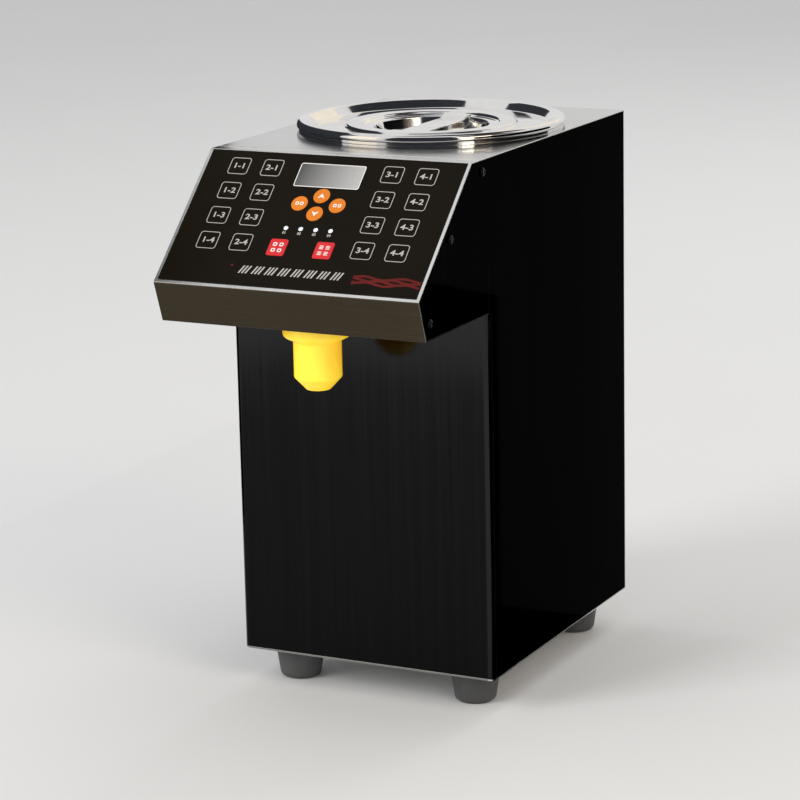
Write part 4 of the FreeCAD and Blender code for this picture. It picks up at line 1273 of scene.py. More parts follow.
# ---------------------------------------------------------------- studio
BLACK, GREY = (0.004, 0.004, 0.004), (0.30, 0.30, 0.30)
SLATE, BROWN, CREAM = (0.030, 0.034, 0.042), (0.09, 0.065, 0.05), (0.85, 0.79, 0.68)


@dataclass(frozen=True)
class Card:
    """A card that only reflections see: its corners, its colour and how brightly it shines."""
    name: str
    corners: tuple[tuple[float, float, float], ...]
    shade: Colour
    glow: float = 0.0
    roughness: float = 0.9

    @classmethod
    def upright(cls, name: str, start: tuple[float, float], end: tuple[float, float],
                heights: tuple[float, float], shade: Colour, glow: float = 0.0) -> "Card":
        """A card that stands on the line from start to end, between two heights.

        Args:
            name: the card's name.
            start: x and y of one upright edge.
            end: x and y of the other.
            heights: of its foot and its top.
            shade: its colour.
            glow: how brightly it shines in reflections.

        Returns:
            The card.
        """
        low, high = heights
        corners = ((*start, low), (*end, low), (*end, high), (*start, high))
        return cls(name, corners, shade, glow)

    @classmethod
    def level(cls, name: str, height: float, corners: Sequence[tuple[float, float]],
              shade: Colour) -> "Card":
        """A level card at a height, with the given corners."""
        return cls(name, tuple((x, y, height) for x, y in corners), shade)

    def hang(self) -> None:
        """Makes the card: mirrors show it and nothing else does."""
        mesh = bpy.data.meshes.new(self.name)
        mesh.from_pydata(self.corners, [], [range(len(self.corners))])
        made = new_object(self.name, mesh)
        material = bpy.data.materials.new(self.name)
        material.use_nodes = True
        values = {"Base Color": rgba(self.shade), "Roughness": self.roughness,
                  "Specular IOR Level": 0.0, "Emission Color": rgba(self.shade),
                  "Emission Strength": self.glow}
        for label, value in values.items():
            material.node_tree.nodes["Principled BSDF"].inputs[label].default_value = value
        mesh.materials.append(material)
        made.visible_camera = False
        made.visible_diffuse = False
        made.visible_shadow = False


CARDS = (
    Card.upright("card_right", (0.62, -0.30), (0.75, 1.05), (0.22, 0.75), BLACK),
    Card.upright("card_low", (0.60, -0.34), (0.64, 0.20), (0.0, 0.22), BLACK),
    Card.upright("card_corner", (0.16, 0.02), (0.64, 0.20), (0.0, 0.34), BLACK),
    Card.upright("card_left", (-0.60, -0.42), (-0.60, 0.75), (0.0, 1.25), SLATE),
    Card.upright("card_front", (-0.20, -0.95), (0.75, -0.62), (0.24, 1.9), SLATE),
    Card.upright("card_side", (0.80, -0.60), (0.95, 0.35), (0.95, 1.9), BROWN),
    Card.upright("card_bright", (-1.17, -1.03), (-0.55, -1.44), (0.45, 1.7), CREAM, 0.3),
    Card.upright("card_back", (-0.56, 1.6), (0.41, 1.6), (0.9, 1.77), scaled(CREAM, 0.85), 0.12),
    Card.level("card_above", 1.5, ((-0.30, -0.04), (-0.30, 0.9), (0.75, 0.9), (0.75, -0.04)),
               SLATE),
    Card.level("card_below", 0.002, ((-0.75, -0.15), (0.11, -0.10), (-0.30, -1.25),
                                     (-0.75, -1.25)), GREY),
    Card.level("card_beside", 0.002, ((0.13, -0.12), (0.80, -0.37), (0.80, 0.20),
                                      (0.135, 0.20)), BLACK),
)


@dataclass(frozen=True)
class Lamp:
    """A square soft light: its place, size and power in watts."""
    name: str
    place: tuple[float, float, float]
    size: float
    power: float
    colour: Colour = (1.0, 1.0, 1.0)
    mirrored: bool = False

    def light(self, aim: Vector) -> None:
        """Makes the lamp.

        Args:
            aim: the point that it faces.
        """
        data = bpy.data.lights.new(self.name, "AREA")
        data.shape = "SQUARE"
        data.size = self.size
        data.energy = self.power
        data.color = self.colour
        made = new_object(self.name, data)
        made.visible_glossy = self.mirrored
        place = Vector(self.place)
        turn = (aim - place).to_track_quat("-Z", "Y").to_matrix().to_4x4()
        made.matrix_world = Matrix.Translation(place) @ turn


LAMPS = (
    Lamp("key_lamp", (-2.0, -3.0, 2.0), 1.6, 80.0),
    Lamp("fill_lamp", (2.8, -1.2, 1.8), 1.6, 32.0, (1.0, 0.87, 0.70), mirrored=True),
    Lamp("back_lamp", (0.4, 3.0, 2.6), 1.8, 26.0),
)


@dataclass
class Studio:
    """The camera, the lamps, the pale floor and the cards that shape reflections."""
    camera_at: tuple[float, float, float] = (1.1356, -2.2558, 0.8505)
    yaw: float = math.radians(26.819)
    pitch: float = math.radians(13.467)
    roll: float = math.radians(-1.215)
    lens: float = 135.1
    sensor: float = 36.0
    sight: float = 60.0
    aim: tuple[float, float, float] = (0.0, 0.0, 0.25)
    floor_half: float = 14.0
    floor_colour: Colour = (0.72, 0.72, 0.72)
    floor_mottle: float = 0.015
    floor_patches: float = 3.0
    floor_roughness: float = 0.7
    floor_specular: float = 0.2
    world_light: float = 0.72

    def build(self) -> None:
        """Makes everything that isn't part of the object."""
        self.camera()
        self.world()
        self.floor()
        for lamp in LAMPS:
            lamp.light(Vector(self.aim))
        for card in CARDS:
            card.hang()
        bpy.context.scene.view_settings.view_transform = "Standard"

    def camera(self) -> None:
        """The camera, at the angle that the machine is shown from."""
        data = bpy.data.cameras.new("camera")
        data.lens = self.lens
        data.sensor_width = self.sensor
        data.clip_end = self.sight
        made = new_object("camera", data)
        flat = math.cos(self.pitch)
        ahead = Vector((-math.sin(self.yaw) * flat, math.cos(self.yaw) * flat,
                        -math.sin(self.pitch)))
        right = ahead.cross(Vector((0, 0, 1))).normalized()
        up = right.cross(ahead)
        level, tipped = math.cos(self.roll), math.sin(self.roll)
        axes = (right * level + up * tipped, up * level - right * tipped, -ahead)
        turn = Matrix(axes).transposed().to_4x4()
        made.matrix_world = Matrix.Translation(Vector(self.camera_at)) @ turn
        bpy.context.scene.camera = made

    def world(self) -> None:
        """An even pale surrounding."""
        world = bpy.data.worlds.new("studio")
        world.use_nodes = True
        shade = world.node_tree.nodes["Background"]
        shade.inputs["Color"].default_value = (1.0, 1.0, 1.0, 1.0)
        shade.inputs["Strength"].default_value = self.world_light
        bpy.context.scene.world = world

    def floor(self) -> None:
        """A wide pale floor under the feet."""
        mesh = bpy.data.meshes.new("floor")
        half = self.floor_half
        mesh.from_pydata([(-half, -half, 0), (half, -half, 0), (half, half, 0), (-half, half, 0)],
                         [], [(0, 1, 2, 3)])
        made = new_object("floor", mesh)
        material = bpy.data.materials.new("floor")
        material.use_nodes = True
        shader = material.node_tree.nodes["Principled BSDF"]
        tree = Tree(material.node_tree)
        place = tree.add("ShaderNodeTexCoord").outputs["Object"]
        tone = tree.mix(tree.noise(place, self.floor_patches),
                        rgba(scaled(self.floor_colour, 1 - self.floor_mottle)),
                        rgba(scaled(self.floor_colour, 1 + self.floor_mottle)))
        tree.feed(shader.inputs["Base Color"], tone)
        shader.inputs["Roughness"].default_value = self.floor_roughness
        shader.inputs["Specular IOR Level"].default_value = self.floor_specular
        mesh.materials.append(material)


# ---------------------------------------------------------------- casing
@dataclass
class Casing:
    """The folded sheets of the machine's body."""
    sheet: float = 1.0 * MM
    edge: float = 0.22 * MM
    rounder: dict[str, float] = field(default_factory=lambda: {
        "panel_frame": 0.45 * MM, "lip_valance": 0.45 * MM, "top_plate": 0.35 * MM,
        "left_side_panel": 0.12 * MM, "right_side_panel": 0.12 * MM})
    bend: float = 5.5 * MM
    bend_steps: int = 12
    bend_run: float = 0.3 * MM
    joint: float = 0.3 * MM
    seam_back: float = 13.0 * MM
    seam_width: float = 1.4 * MM
    seam_depth: float = 0.6 * MM
    # The lip's finish carries a painted reflection in its brown colour.
    sheets: dict[str, str] = field(default_factory=lambda: {
        "hood_floor": "black_steel", "lip_valance": "bronze_steel",
        "top_plate": "brushed_stainless", "rear_panel": "brushed_stainless",
        "base_plate": "brushed_stainless", "panel_frame": "bright_trim",
        "left_side_panel": "gloss_black", "right_side_panel": "gloss_black",
        "left_cheek": "gloss_black", "right_cheek": "gloss_black"})

    def build(self) -> None:
        """Makes each sheet with rolled edges, and the front panel with its bends."""
        cuts = {"top_plate": self.seam, "left_side_panel": self.notch,
                "right_side_panel": self.notch, "base_plate": self.corners}
        for node, finish in self.sheets.items():
            groove = cuts[node](node) if node in cuts else None
            piece = softened(node, self.rounder.get(node, self.edge), name=f"{node}_sheet",
                             groove=groove)
            dress(piece, finish, stands_for=[node])
        self.front()

    def seam(self, node: str) -> bpy.types.Object:
        """The joint line across the top plate, behind its front edge.

        Args:
            node: the top plate.

        Returns:
            The shape to cut away.
        """
        low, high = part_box(node)
        front = low.y + self.seam_back
        beyond = 2 * self.seam_width
        mesh = block_mesh("seam", (low.x - beyond, front, high.z - self.seam_depth),
                          (high.x + beyond, front + self.seam_width, high.z + beyond))
        return new_object("seam", mesh)

    def notch(self, node: str) -> bpy.types.Object:
        """The corner that a side panel leaves for the front panel's bend.

        Args:
            node: the side panel.

        Returns:
            The shape to cut away.
        """
        low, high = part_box(node)
        front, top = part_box("front_panel")
        back = front.y + self.bend + self.bend_run + self.joint
        inner = top.x - self.bend
        ends = (inner, top.x + self.bend) if high.x > 0 else (-top.x - self.bend, -inner)
        mesh = block_mesh("notch", (ends[0], front.y - self.bend, low.z - self.bend),
                          (ends[1], back, top.z + self.joint))
        return new_object("notch", mesh)

    def corners(self, node: str) -> bpy.types.Object:
        """What is cut off the base plate's front corners, to follow the front panel's bends.

        Args:
            node: the base plate.

        Returns:
            The shape to cut away.
        """
        low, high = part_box(node)
        beyond = self.bend
        centre = Vector((high.x - self.bend, low.y + self.bend))
        arc = []
        for step in range(self.bend_steps + 1):
            angle = math.pi / 2 * step / self.bend_steps
            arc.append(centre + Vector((math.cos(angle), -math.sin(angle))) * self.bend)
        outline = [Vector((high.x + beyond, centre.y)), *arc, Vector((centre.x, low.y - beyond)),
                   Vector((high.x + beyond, low.y - beyond))]
        mirrored = [Vector((-point.x, point.y)) for point in outline]
        return joined_in_place("corners", [
            upright_mesh("corner", points, low.z - beyond, high.z + beyond)
            for points in (outline, mirrored)])

    def front(self) -> None:
        """The front panel: its upright edges are folded back, its foot and top are flanged."""
        low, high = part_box("front_panel")
        back = low.y + self.bend + self.bend_run
        path = (Corner(low.x, back), Corner(low.x, low.y, self.bend),
                Corner(high.x, low.y, self.bend), Corner(high.x, back))
        section = Turned.of_sheet(path, self.sheet, 1, self.bend_steps)
        parts = [upright_mesh("face", section.outline(), low.z, high.z)]
        reach = high.x - 2 * self.bend
        for z in (low.z, high.z - self.sheet):
            parts.append(block_mesh("flange", (-reach, low.y + self.sheet / 2, z),
                                    (reach, high.y, z + self.sheet)))
        made = joined_in_place("front_panel_sheet", parts, smooth=True)
        weigh_normals(made)
        dress(settle(made), "black_steel",
              stands_for=["front_panel"])


# ---------------------------------------------------------------- keypad
@dataclass
class Keypad:
    """The film's keys and everything that is printed on it."""
    ink: float = 0.03 * MM
    outline: float = 0.62 * MM
    outline_inset: float = 0.3 * MM
    outline_corner: float = 2.4 * MM
    label_size: float = 7.4 * MM
    label_stretch: float = 1.22
    label_weight: float = 0.15 * MM
    key_edge: float = 0.12 * MM
    film_edge: float = 0.1 * MM
    arrow_half: float = 3.3 * MM
    arrow_height: float = 2.4 * MM
    arrow_notch: float = 1.0 * MM
    pair_size: tuple[float, float] = (3.1 * MM, 3.3 * MM)
    pair_corner: float = 0.5 * MM
    pair_line: float = 0.8 * MM
    pair_shift: float = 2.1 * MM
    grid_shift: float = 2.9 * MM
    grid_size: float = 3.6 * MM
    grid_corner: float = 0.6 * MM
    grid_line: float = 0.9 * MM
    grid_bar: float = 0.7 * MM
    grid_bar_step: float = 1.35 * MM
    window_line: float = 0.7 * MM
    window_corner: float = 1.5 * MM
    lamp_columns: tuple[float, ...] = (-20.3 * MM, -6.8 * MM, 6.8 * MM, 20.3 * MM)
    lamp_row: float = 76.2 * MM
    lamp_radius: float = 2.0 * MM
    lens_edge: float = 0.08 * MM
    lens_round: float = 0.05 * MM
    lens_crown: float = 0.16 * MM
    lens_steps: int = 32
    film_top: float = 1.0 * MM
    caption_drop: float = 4.7 * MM
    caption_size: float = 3.4 * MM
    caption_weight: float = 0.10 * MM
    title_v: float = 119.4 * MM
    title_height: float = 7.6 * MM
    title_line: float = 1.5 * MM
    title_step: float = 3.1 * MM
    title_pitch: float = 11.9 * MM
    title_slant: float = 0.42
    title_groups: int = 8
    title_strokes: int = 3
    dot_place: tuple[float, float] = (-55.0 * MM, 116.0 * MM)
    dot_radius: float = 1.2 * MM
    dot_steps: int = 24
    stripe_u: float = 86.0 * MM
    stripe_v: float = 121.5 * MM
    stripe_length: float = 60.0 * MM
    stripe_drops: tuple[float, ...] = (-2.8 * MM, -0.9 * MM, 0.9 * MM, 2.8 * MM)
    stripe_swing: float = 1.35 * MM
    stripe_waves: float = 1.7
    stripe_phase: float = 1.9
    stripe_line: float = 2.2 * MM
    stripe_lift: float = 0.004 * MM
    rings: GeometryTree = field(default_factory=ring_tree)
    hatch: GeometryTree = field(default_factory=hatch_tree)
    waves: GeometryTree = field(default_factory=wave_tree)

    def build(self) -> None:
        """Makes the film, the keys and the prints."""
        for node, name in (("keypad_film", "keypad_film_sheet"),
                           ("display_window", "display_glass")):
            dress(softened(node, self.film_edge, 1, name), node, stands_for=[node])
        for node in sorted(frame["nodes"]):
            if node.startswith("key_"):
                self.key(node)
        self.window_border()
        self.lamps()
        self.title()
        self.stripes()

    def on_film(self, u: float, v: float) -> Matrix:
        """A place on the film's face, v measured from the panel's upper edge."""
        return SLOPE.matrix(u, v - self.film_top, self.ink / 2)

    def printed(self, name: str, prints: Sequence[tuple[bpy.types.Mesh, Matrix]], finish: str,
                body: str = HOUSING, smooth: bool = False) -> None:
        """Joins prints at their places into one piece, dressed and attached to a body."""
        dress(merged(name, prints, smooth), finish, body)

    def key(self, node: str) -> None:
        """One key's pad and its print, both moving with the key.

        Args:
            node: the key.
        """
        numbered, square = node[-1].isdigit(), node in ("key_power", "key_clean")
        finish = "keypad_film" if numbered else "red_key" if square else "orange_key"
        dress(softened(node, self.key_edge, 2, f"{node}_pad"), finish, node, stands_for=[node])
        low, high = SLOPE.span(node)
        centre = (low + high) / 2
        place = SLOPE.matrix(centre.x, centre.y, high.z + self.ink / 2)
        if numbered:
            made = self.number_print(node, high - low)
        elif node in ("key_up", "key_down"):
            made = self.arrow_print(1 if node == "key_up" else -1)
        elif node in ("key_left", "key_right"):
            made = self.pair_print()
        else:
            made = self.grid_print(node == "key_power")
        self.printed(f"{node}_print", [(mesh, place @ shift) for mesh, shift in made],
                     "grey_print" if numbered else "white_print", node)

    def number_print(self, node: str, size: Vector) -> list[tuple[bpy.types.Mesh, Matrix]]:
        """An outline and the key's column and row.

        Args:
            node: the key.
            size: the key's width and height.

        Returns:
            Each mesh with its place on the key.
        """
        ring = self.rings.run(f"{node}_ring", None, Width=size.x - 2 * self.outline_inset,
                              Height=size.y - 2 * self.outline_inset,
                              Corner=self.outline_corner, Line=self.outline, Thickness=self.ink)
        _, column, row = node.split("_")
        label = flat_text(f"{node}_label", f"{column}-{row}", self.label_size,
                          self.label_weight, self.ink)
        return [(ring, Matrix()), (label, Matrix.Scale(self.label_stretch, 4, (1, 0, 0)))]

    def polygon(self, name: str, points: Sequence[tuple[float, float]]) -> bpy.types.Mesh:
        """A flat printed shape with the ink's thickness.

        Args:
            name: the mesh's name.
            points: the shape's corners.

        Returns:
            The shape.
        """
        half = self.ink / 2
        work = bmesh.new()
        face = work.faces.new([work.verts.new((x, y, -half)) for x, y in points])
        raised = bmesh.ops.extrude_face_region(work, geom=[face])["geom"]
        moved = [item for item in raised if isinstance(item, bmesh.types.BMVert)]
        bmesh.ops.translate(work, verts=moved, vec=(0, 0, self.ink))
        bmesh.ops.recalc_face_normals(work, faces=work.faces)
        return to_mesh(work, name)

    def arrow_print(self, way: int) -> list[tuple[bpy.types.Mesh, Matrix]]:
        """A broad arrow head, up for 1 and down for -1.

        Args:
            way: 1 or -1.

        Returns:
            Each mesh with its place on the key.
        """
        wide, tall, notch = self.arrow_half, self.arrow_height * way, self.arrow_notch * way
        points = [(-wide, -tall), (0, -notch), (wide, -tall), (0, tall)]
        return [(self.polygon("arrow", points), Matrix())]

    def block(self, width: float, height: float) -> bpy.types.Mesh:
        """A printed rectangle."""
        x, y = width / 2, height / 2
        return self.polygon("block", [(-x, -y), (x, -y), (x, y), (-x, y)])

    def pair_print(self) -> list[tuple[bpy.types.Mesh, Matrix]]:
        """Two small framed squares side by side.

        Returns:
            Each mesh with its place on the key.
        """
        width, height = self.pair_size
        square = self.rings.run("square", None, Width=width, Height=height,
                                Corner=self.pair_corner, Line=self.pair_line,
                                Thickness=self.ink)
        return [(square, Matrix.Translation((side * self.pair_shift, 0, 0)))
                for side in (-1, 1)]

    def grid_print(self, open_squares: bool) -> list[tuple[bpy.types.Mesh, Matrix]]:
        """Four small marks, two by two.

        Args:
            open_squares: framed squares, or else three bars each.

        Returns:
            Each mesh with its place on the key.
        """
        if open_squares:
            square = self.rings.run("mark", None, Width=self.grid_size, Height=self.grid_size,
                                    Corner=self.grid_corner, Line=self.grid_line,
                                    Thickness=self.ink)
            mark = [(square, Matrix())]
        else:
            bar = self.block(self.grid_size, self.grid_bar)
            mark = [(bar, Matrix.Translation((0, level * self.grid_bar_step, 0)))
                    for level in (-1, 0, 1)]
        shifts = [Matrix.Translation((side * self.grid_shift, level * self.grid_shift, 0))
                  for side in (-1, 1) for level in (-1, 1)]
        return [(mesh, shift @ place) for shift in shifts for mesh, place in mark]

    def window_border(self) -> None:
        """The light line round the display."""
        low, high = SLOPE.span("display_window")
        line = self.window_line
        ring = self.rings.run("window_ring", None, Width=high.x - low.x + line,
                              Height=high.y - low.y + line, Corner=self.window_corner,
                              Line=line, Thickness=self.ink)
        centre = (low + high) / 2
        place = SLOPE.matrix(centre.x, centre.y, self.ink / 2)
        self.printed("window_border", [(ring, place)], "white_print")

    def lamps(self) -> None:
        """Four lamp windows in the film, each with a plain number below it."""
        dome = Turned((Corner(0, 0), Corner(self.lamp_radius, 0),
                       Corner(self.lamp_radius, self.lens_edge, self.lens_round),
                       Corner(0, self.lens_crown)), self.lens_steps)
        lenses, captions = [], []
        for number, u in enumerate(self.lamp_columns, 1):
            lens = dome.mesh(f"lens_{number}", Vector())
            lenses.append((lens, self.on_film(u, self.lamp_row)))
            label = flat_text(f"caption_{number}", f"0{number}", self.caption_size,
                              self.caption_weight, self.ink)
            captions.append((label, self.on_film(u, self.lamp_row + self.caption_drop)))
        self.printed("lamp_lenses", lenses, "lamp_lens", smooth=True)
        self.printed("lamp_captions", captions, "grey_print")

    def title(self) -> None:
        """A plain row of slanted hatch along the foot of the film, and a small dot."""
        marks = self.hatch.run("title_hatch", None, Count=self.title_groups,
                               Pitch=self.title_pitch, Strokes=self.title_strokes,
                               Step=self.title_step, Height=self.title_height,
                               Line=self.title_line, Slant=self.title_slant,
                               Thickness=self.ink)
        self.printed("title_hatch", [(marks, self.on_film(0.0, self.title_v))], "grey_print")
        dot = Turned((Corner(0, 0), Corner(self.dot_radius, 0),
                      Corner(self.dot_radius, self.ink), Corner(0, self.ink)),
                     self.dot_steps)
        mesh = dot.mesh("film_dot", Vector((0, 0, -self.ink / 2)))
        self.printed("film_dot", [(mesh, self.on_film(*self.dot_place))], "red_print")

    def stripes(self) -> None:
        """Dark red waves that cross one another, to the right of the title."""
        waves = []
        for index, drop in enumerate(self.stripe_drops):
            wave = self.waves.run(f"wave_{index}", None, Length=self.stripe_length,
                                  Swing=self.stripe_swing, Waves=self.stripe_waves,
                                  Phase=index * self.stripe_phase, Line=self.stripe_line,
                                  Thickness=self.ink)
            shift = Matrix.Translation((0, -drop, index * self.stripe_lift))
            waves.append((wave, self.on_film(self.stripe_u, self.stripe_v) @ shift))
        self.printed("red_stripes", waves, "red_print")


# ---------------------------------------------------------------- tank and lid
@dataclass
class TankTop:
    """The drop-in tank, its lid and the lid's strap."""
    sheet: float = 0.8 * MM
    round: float = 2.2 * MM
    skirt_foot: float = 3.4 * MM
    bead_height: float = 9.0 * MM
    bead_width: float = 7.5 * MM
    bead_outer_round: float = 3.9 * MM
    bead_inner_round: float = 6.0 * MM
    seat: float = 1.9 * MM
    ridge_radius: float = 73.0 * MM
    ridge_width: float = 13.0 * MM
    ridge_height: float = 4.8 * MM
    ridge_run: float = 1.5 * MM
    ledge_height: float = 2.2 * MM
    dish_radius: float = 50.0 * MM
    dish_floor_radius: float = 46.5 * MM
    dish_floor: float = -14.0 * MM
    spigot_radius: float = 99.2 * MM
    spigot_depth: float = 6.0 * MM
    tank_corner: float = 14.0 * MM
    tank_inner: float = 100.0 * MM
    tank_outlet: float = 5.0 * MM
    curl: float = 1.4 * MM
    curl_rounds: tuple[float, float, float] = (0.4 * MM, 0.5 * MM, 1.3 * MM)
    strap_sheet: float = 1.5 * MM
    strap_edge: float = 0.6 * MM
    strap_bend: float = 6.0 * MM
    strap_drop: float = 2.7 * MM
    strap_ramp: float = 8.0 * MM
    lid_steps: int = 192
    steps: int = 160
    arc_steps: int = 8

    def build(self) -> None:
        """Makes the lid, its strap and the tank."""
        self.lid()
        self.strap()
        self.tank()

    def plate_height(self) -> float:
        """Height of the top plate's face."""
        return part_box("top_plate")[1].z

    def centre(self) -> Vector:
        """The lid's axis at the top plate's face."""
        return Vector((*LID_CENTRE, self.plate_height()))

    def lid(self) -> None:
        """The lid as one formed sheet, from its bead in to its sunk dish, and its spigot."""
        low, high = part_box("tank_lid")
        outer = (high.x - low.x) / 2
        inner = outer - self.bead_width
        ridge_inner = self.ridge_radius - self.ridge_width
        path = (Corner(outer, self.skirt_foot),
                Corner(outer, self.bead_height, self.bead_outer_round),
                Corner(inner, self.bead_height, self.bead_inner_round),
                Corner(inner - self.bead_height + self.seat, self.seat, self.round),
                Corner(self.ridge_radius + self.ridge_run, self.seat, self.round),
                Corner(self.ridge_radius, self.ridge_height, self.round),
                Corner(ridge_inner, self.ridge_height, self.round),
                Corner(ridge_inner - self.ridge_run, self.ledge_height, self.round),
                Corner(self.dish_radius, self.ledge_height, self.round),
                Corner(self.dish_floor_radius, self.dish_floor, self.round),
                Corner(0, self.dish_floor))
        formed = Turned.of_sheet(path, self.sheet, self.lid_steps, self.arc_steps)
        shell = formed.mesh("shell", self.centre())
        wall = self.spigot_radius - self.sheet
        top = self.seat - self.sheet / 2
        spigot = Turned((Corner(wall, -self.spigot_depth),
                         Corner(self.spigot_radius, -self.spigot_depth),
                         Corner(self.spigot_radius, top), Corner(wall, top)), self.steps)
        meshes = (shell, spigot.mesh("spigot", self.centre()))
        piece = joined_in_place("lid_shell", meshes, smooth=True)
        dress(piece, "polished_stainless", "lid", stands_for=["tank_lid"])

    def strap(self) -> None:
        """The grip: its ends lie on the ledge, its middle dips between them."""
        low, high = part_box("lid_handle")
        top = high.z - self.strap_sheet / 2
        middle = top - self.strap_drop
        crown = self.dish_radius - self.strap_ramp
        line = ((low.y, top), (LID_CENTRE[1] - self.dish_radius, top),
                (LID_CENTRE[1] - crown, middle), (LID_CENTRE[1] + crown, middle),
                (LID_CENTRE[1] + self.dish_radius, top), (high.y, top))
        path = bpy.data.meshes.new("strap_line")
        path.from_pydata([(LID_CENTRE[0], y, z) for y, z in line],
                         [(index, index + 1) for index in range(len(line) - 1)], [])
        mesh = strip_tree().run("lid_strap", path, Width=high.x - low.x,
                                Thickness=self.strap_sheet, Edge=self.strap_edge,
                                Bend=self.strap_bend)
        made = new_object("lid_strap", mesh)
        weigh_normals(made)
        dress(settle(made), "polished_stainless", "lid", stands_for=["lid_handle"])

    def tank(self) -> None:
        """The tank with a drawn corner at its foot and a curled flange."""
        low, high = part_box("tank")
        flange = (high.x - low.x) / 2 - self.curl
        foot = low.z - self.plate_height()
        outer = self.tank_inner + self.sheet
        small, middle, large = self.curl_rounds
        section = (Corner(self.tank_outlet, foot), Corner(outer, foot, self.tank_corner),
                   Corner(outer, 0.0), Corner(flange, 0.0),
                   Corner(flange + self.curl, 0.0, small),
                   Corner(flange + self.curl, 2 * self.curl, middle),
                   Corner(flange - self.curl, 2 * self.curl, large),
                   Corner(flange - self.curl, self.sheet, small),
                   Corner(self.tank_inner, self.sheet, small),
                   Corner(self.tank_inner, foot + self.sheet, self.tank_corner - self.sheet),
                   Corner(self.tank_outlet, foot + self.sheet))
        turned = Turned(section, self.steps, self.arc_steps)
        piece = turned.piece("tank_shell", self.centre())
        dress(piece, "polished_stainless", stands_for=["tank"])


# ---------------------------------------------------------------- nozzle
@dataclass
class Nozzle:
    """The yellow nozzle under the hood."""
    flange_side: float = 6.5 * MM
    flange_round: float = 5.0 * MM
    barrel: float = 19.8 * MM
    barrel_foot: float = 46.0 * MM
    tip: float = 10.0 * MM
    bore: float = 7.0 * MM
    chamber: float = 15.5 * MM
    roof: float = 6.0 * MM
    neck: float = 12.0 * MM
    neck_round: float = 0.8 * MM
    flow: float = 2.6 * MM
    step: float = 4.0 * MM
    step_round: float = 3.0 * MM
    rim_round: float = 0.5 * MM
    barrel_round: float = 2.6 * MM
    tip_round: float = 2.4 * MM
    mouth_round: float = 0.6 * MM
    throat_round: float = 1.0 * MM
    chamber_round: float = 1.5 * MM
    steps: int = 128
    arc_steps: int = 8

    def build(self) -> None:
        """Makes the nozzle as one moulded, hollow shape."""
        low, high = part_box("nozzle")
        flange = (high.x - low.x) / 2
        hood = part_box("hood_floor")[0].z
        centre = Vector(((low.x + high.x) / 2, (low.y + high.y) / 2, hood))
        tip_z, neck_z = low.z - hood, high.z - hood
        flange_foot = -self.flange_side - self.flange_round
        section = (
            Corner(self.flow, neck_z), Corner(self.neck, neck_z, self.neck_round),
            Corner(self.neck, 0.0), Corner(flange, 0.0, self.rim_round),
            Corner(flange, flange_foot, self.flange_round),
            Corner(self.barrel, flange_foot - self.step, self.step_round),
            Corner(self.barrel, -self.barrel_foot, self.barrel_round),
            Corner(self.tip, tip_z, self.tip_round), Corner(self.bore, tip_z, self.mouth_round),
            Corner(self.bore, -self.barrel_foot, self.throat_round),
            Corner(self.chamber, -self.barrel_foot + self.roof, self.chamber_round),
            Corner(self.chamber, -self.roof, self.chamber_round), Corner(self.flow, -self.roof))
        turned = Turned(section, self.steps, self.arc_steps)
        piece = turned.piece("nozzle_moulding", centre)
        dress(piece, "yellow_plastic", stands_for=["nozzle"])


# ---------------------------------------------------------------- feet
@dataclass
class Feet:
    """Four tapered rubber feet."""
    top: float = 22.0 * MM
    foot: float = 17.5 * MM
    foot_round: float = 5.0 * MM
    recess: float = 5.6 * MM
    recess_depth: float = 12.0 * MM
    hole: float = 2.7 * MM
    recess_round: float = 0.5 * MM
    shoulder: float = 5.0 * MM
    shoulder_inset: float = 0.6 * MM
    shoulder_round: float = 3.0 * MM
    top_round: float = 1.2 * MM
    steps: int = 72

    def build(self) -> None:
        """Makes the feet where the frame has them."""
        low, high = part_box("feet")
        height = high.z - low.z
        section = Turned((
            Corner(self.hole, self.recess_depth), Corner(self.recess, self.recess_depth),
            Corner(self.recess, 0.0, self.recess_round), Corner(self.foot, 0.0, self.foot_round),
            Corner(self.top - self.shoulder_inset, height - self.shoulder, self.shoulder_round),
            Corner(self.top, height, self.top_round), Corner(self.hole, height)), self.steps)
        feet = [section.mesh("foot", Vector((x, y, 0.0)))
                for x in (low.x + self.top, high.x - self.top)
                for y in (low.y + self.top, high.y - self.top)]
        piece = joined_in_place("rubber_feet", feet, smooth=True)
        dress(piece, "grey_rubber", stands_for=["feet"])


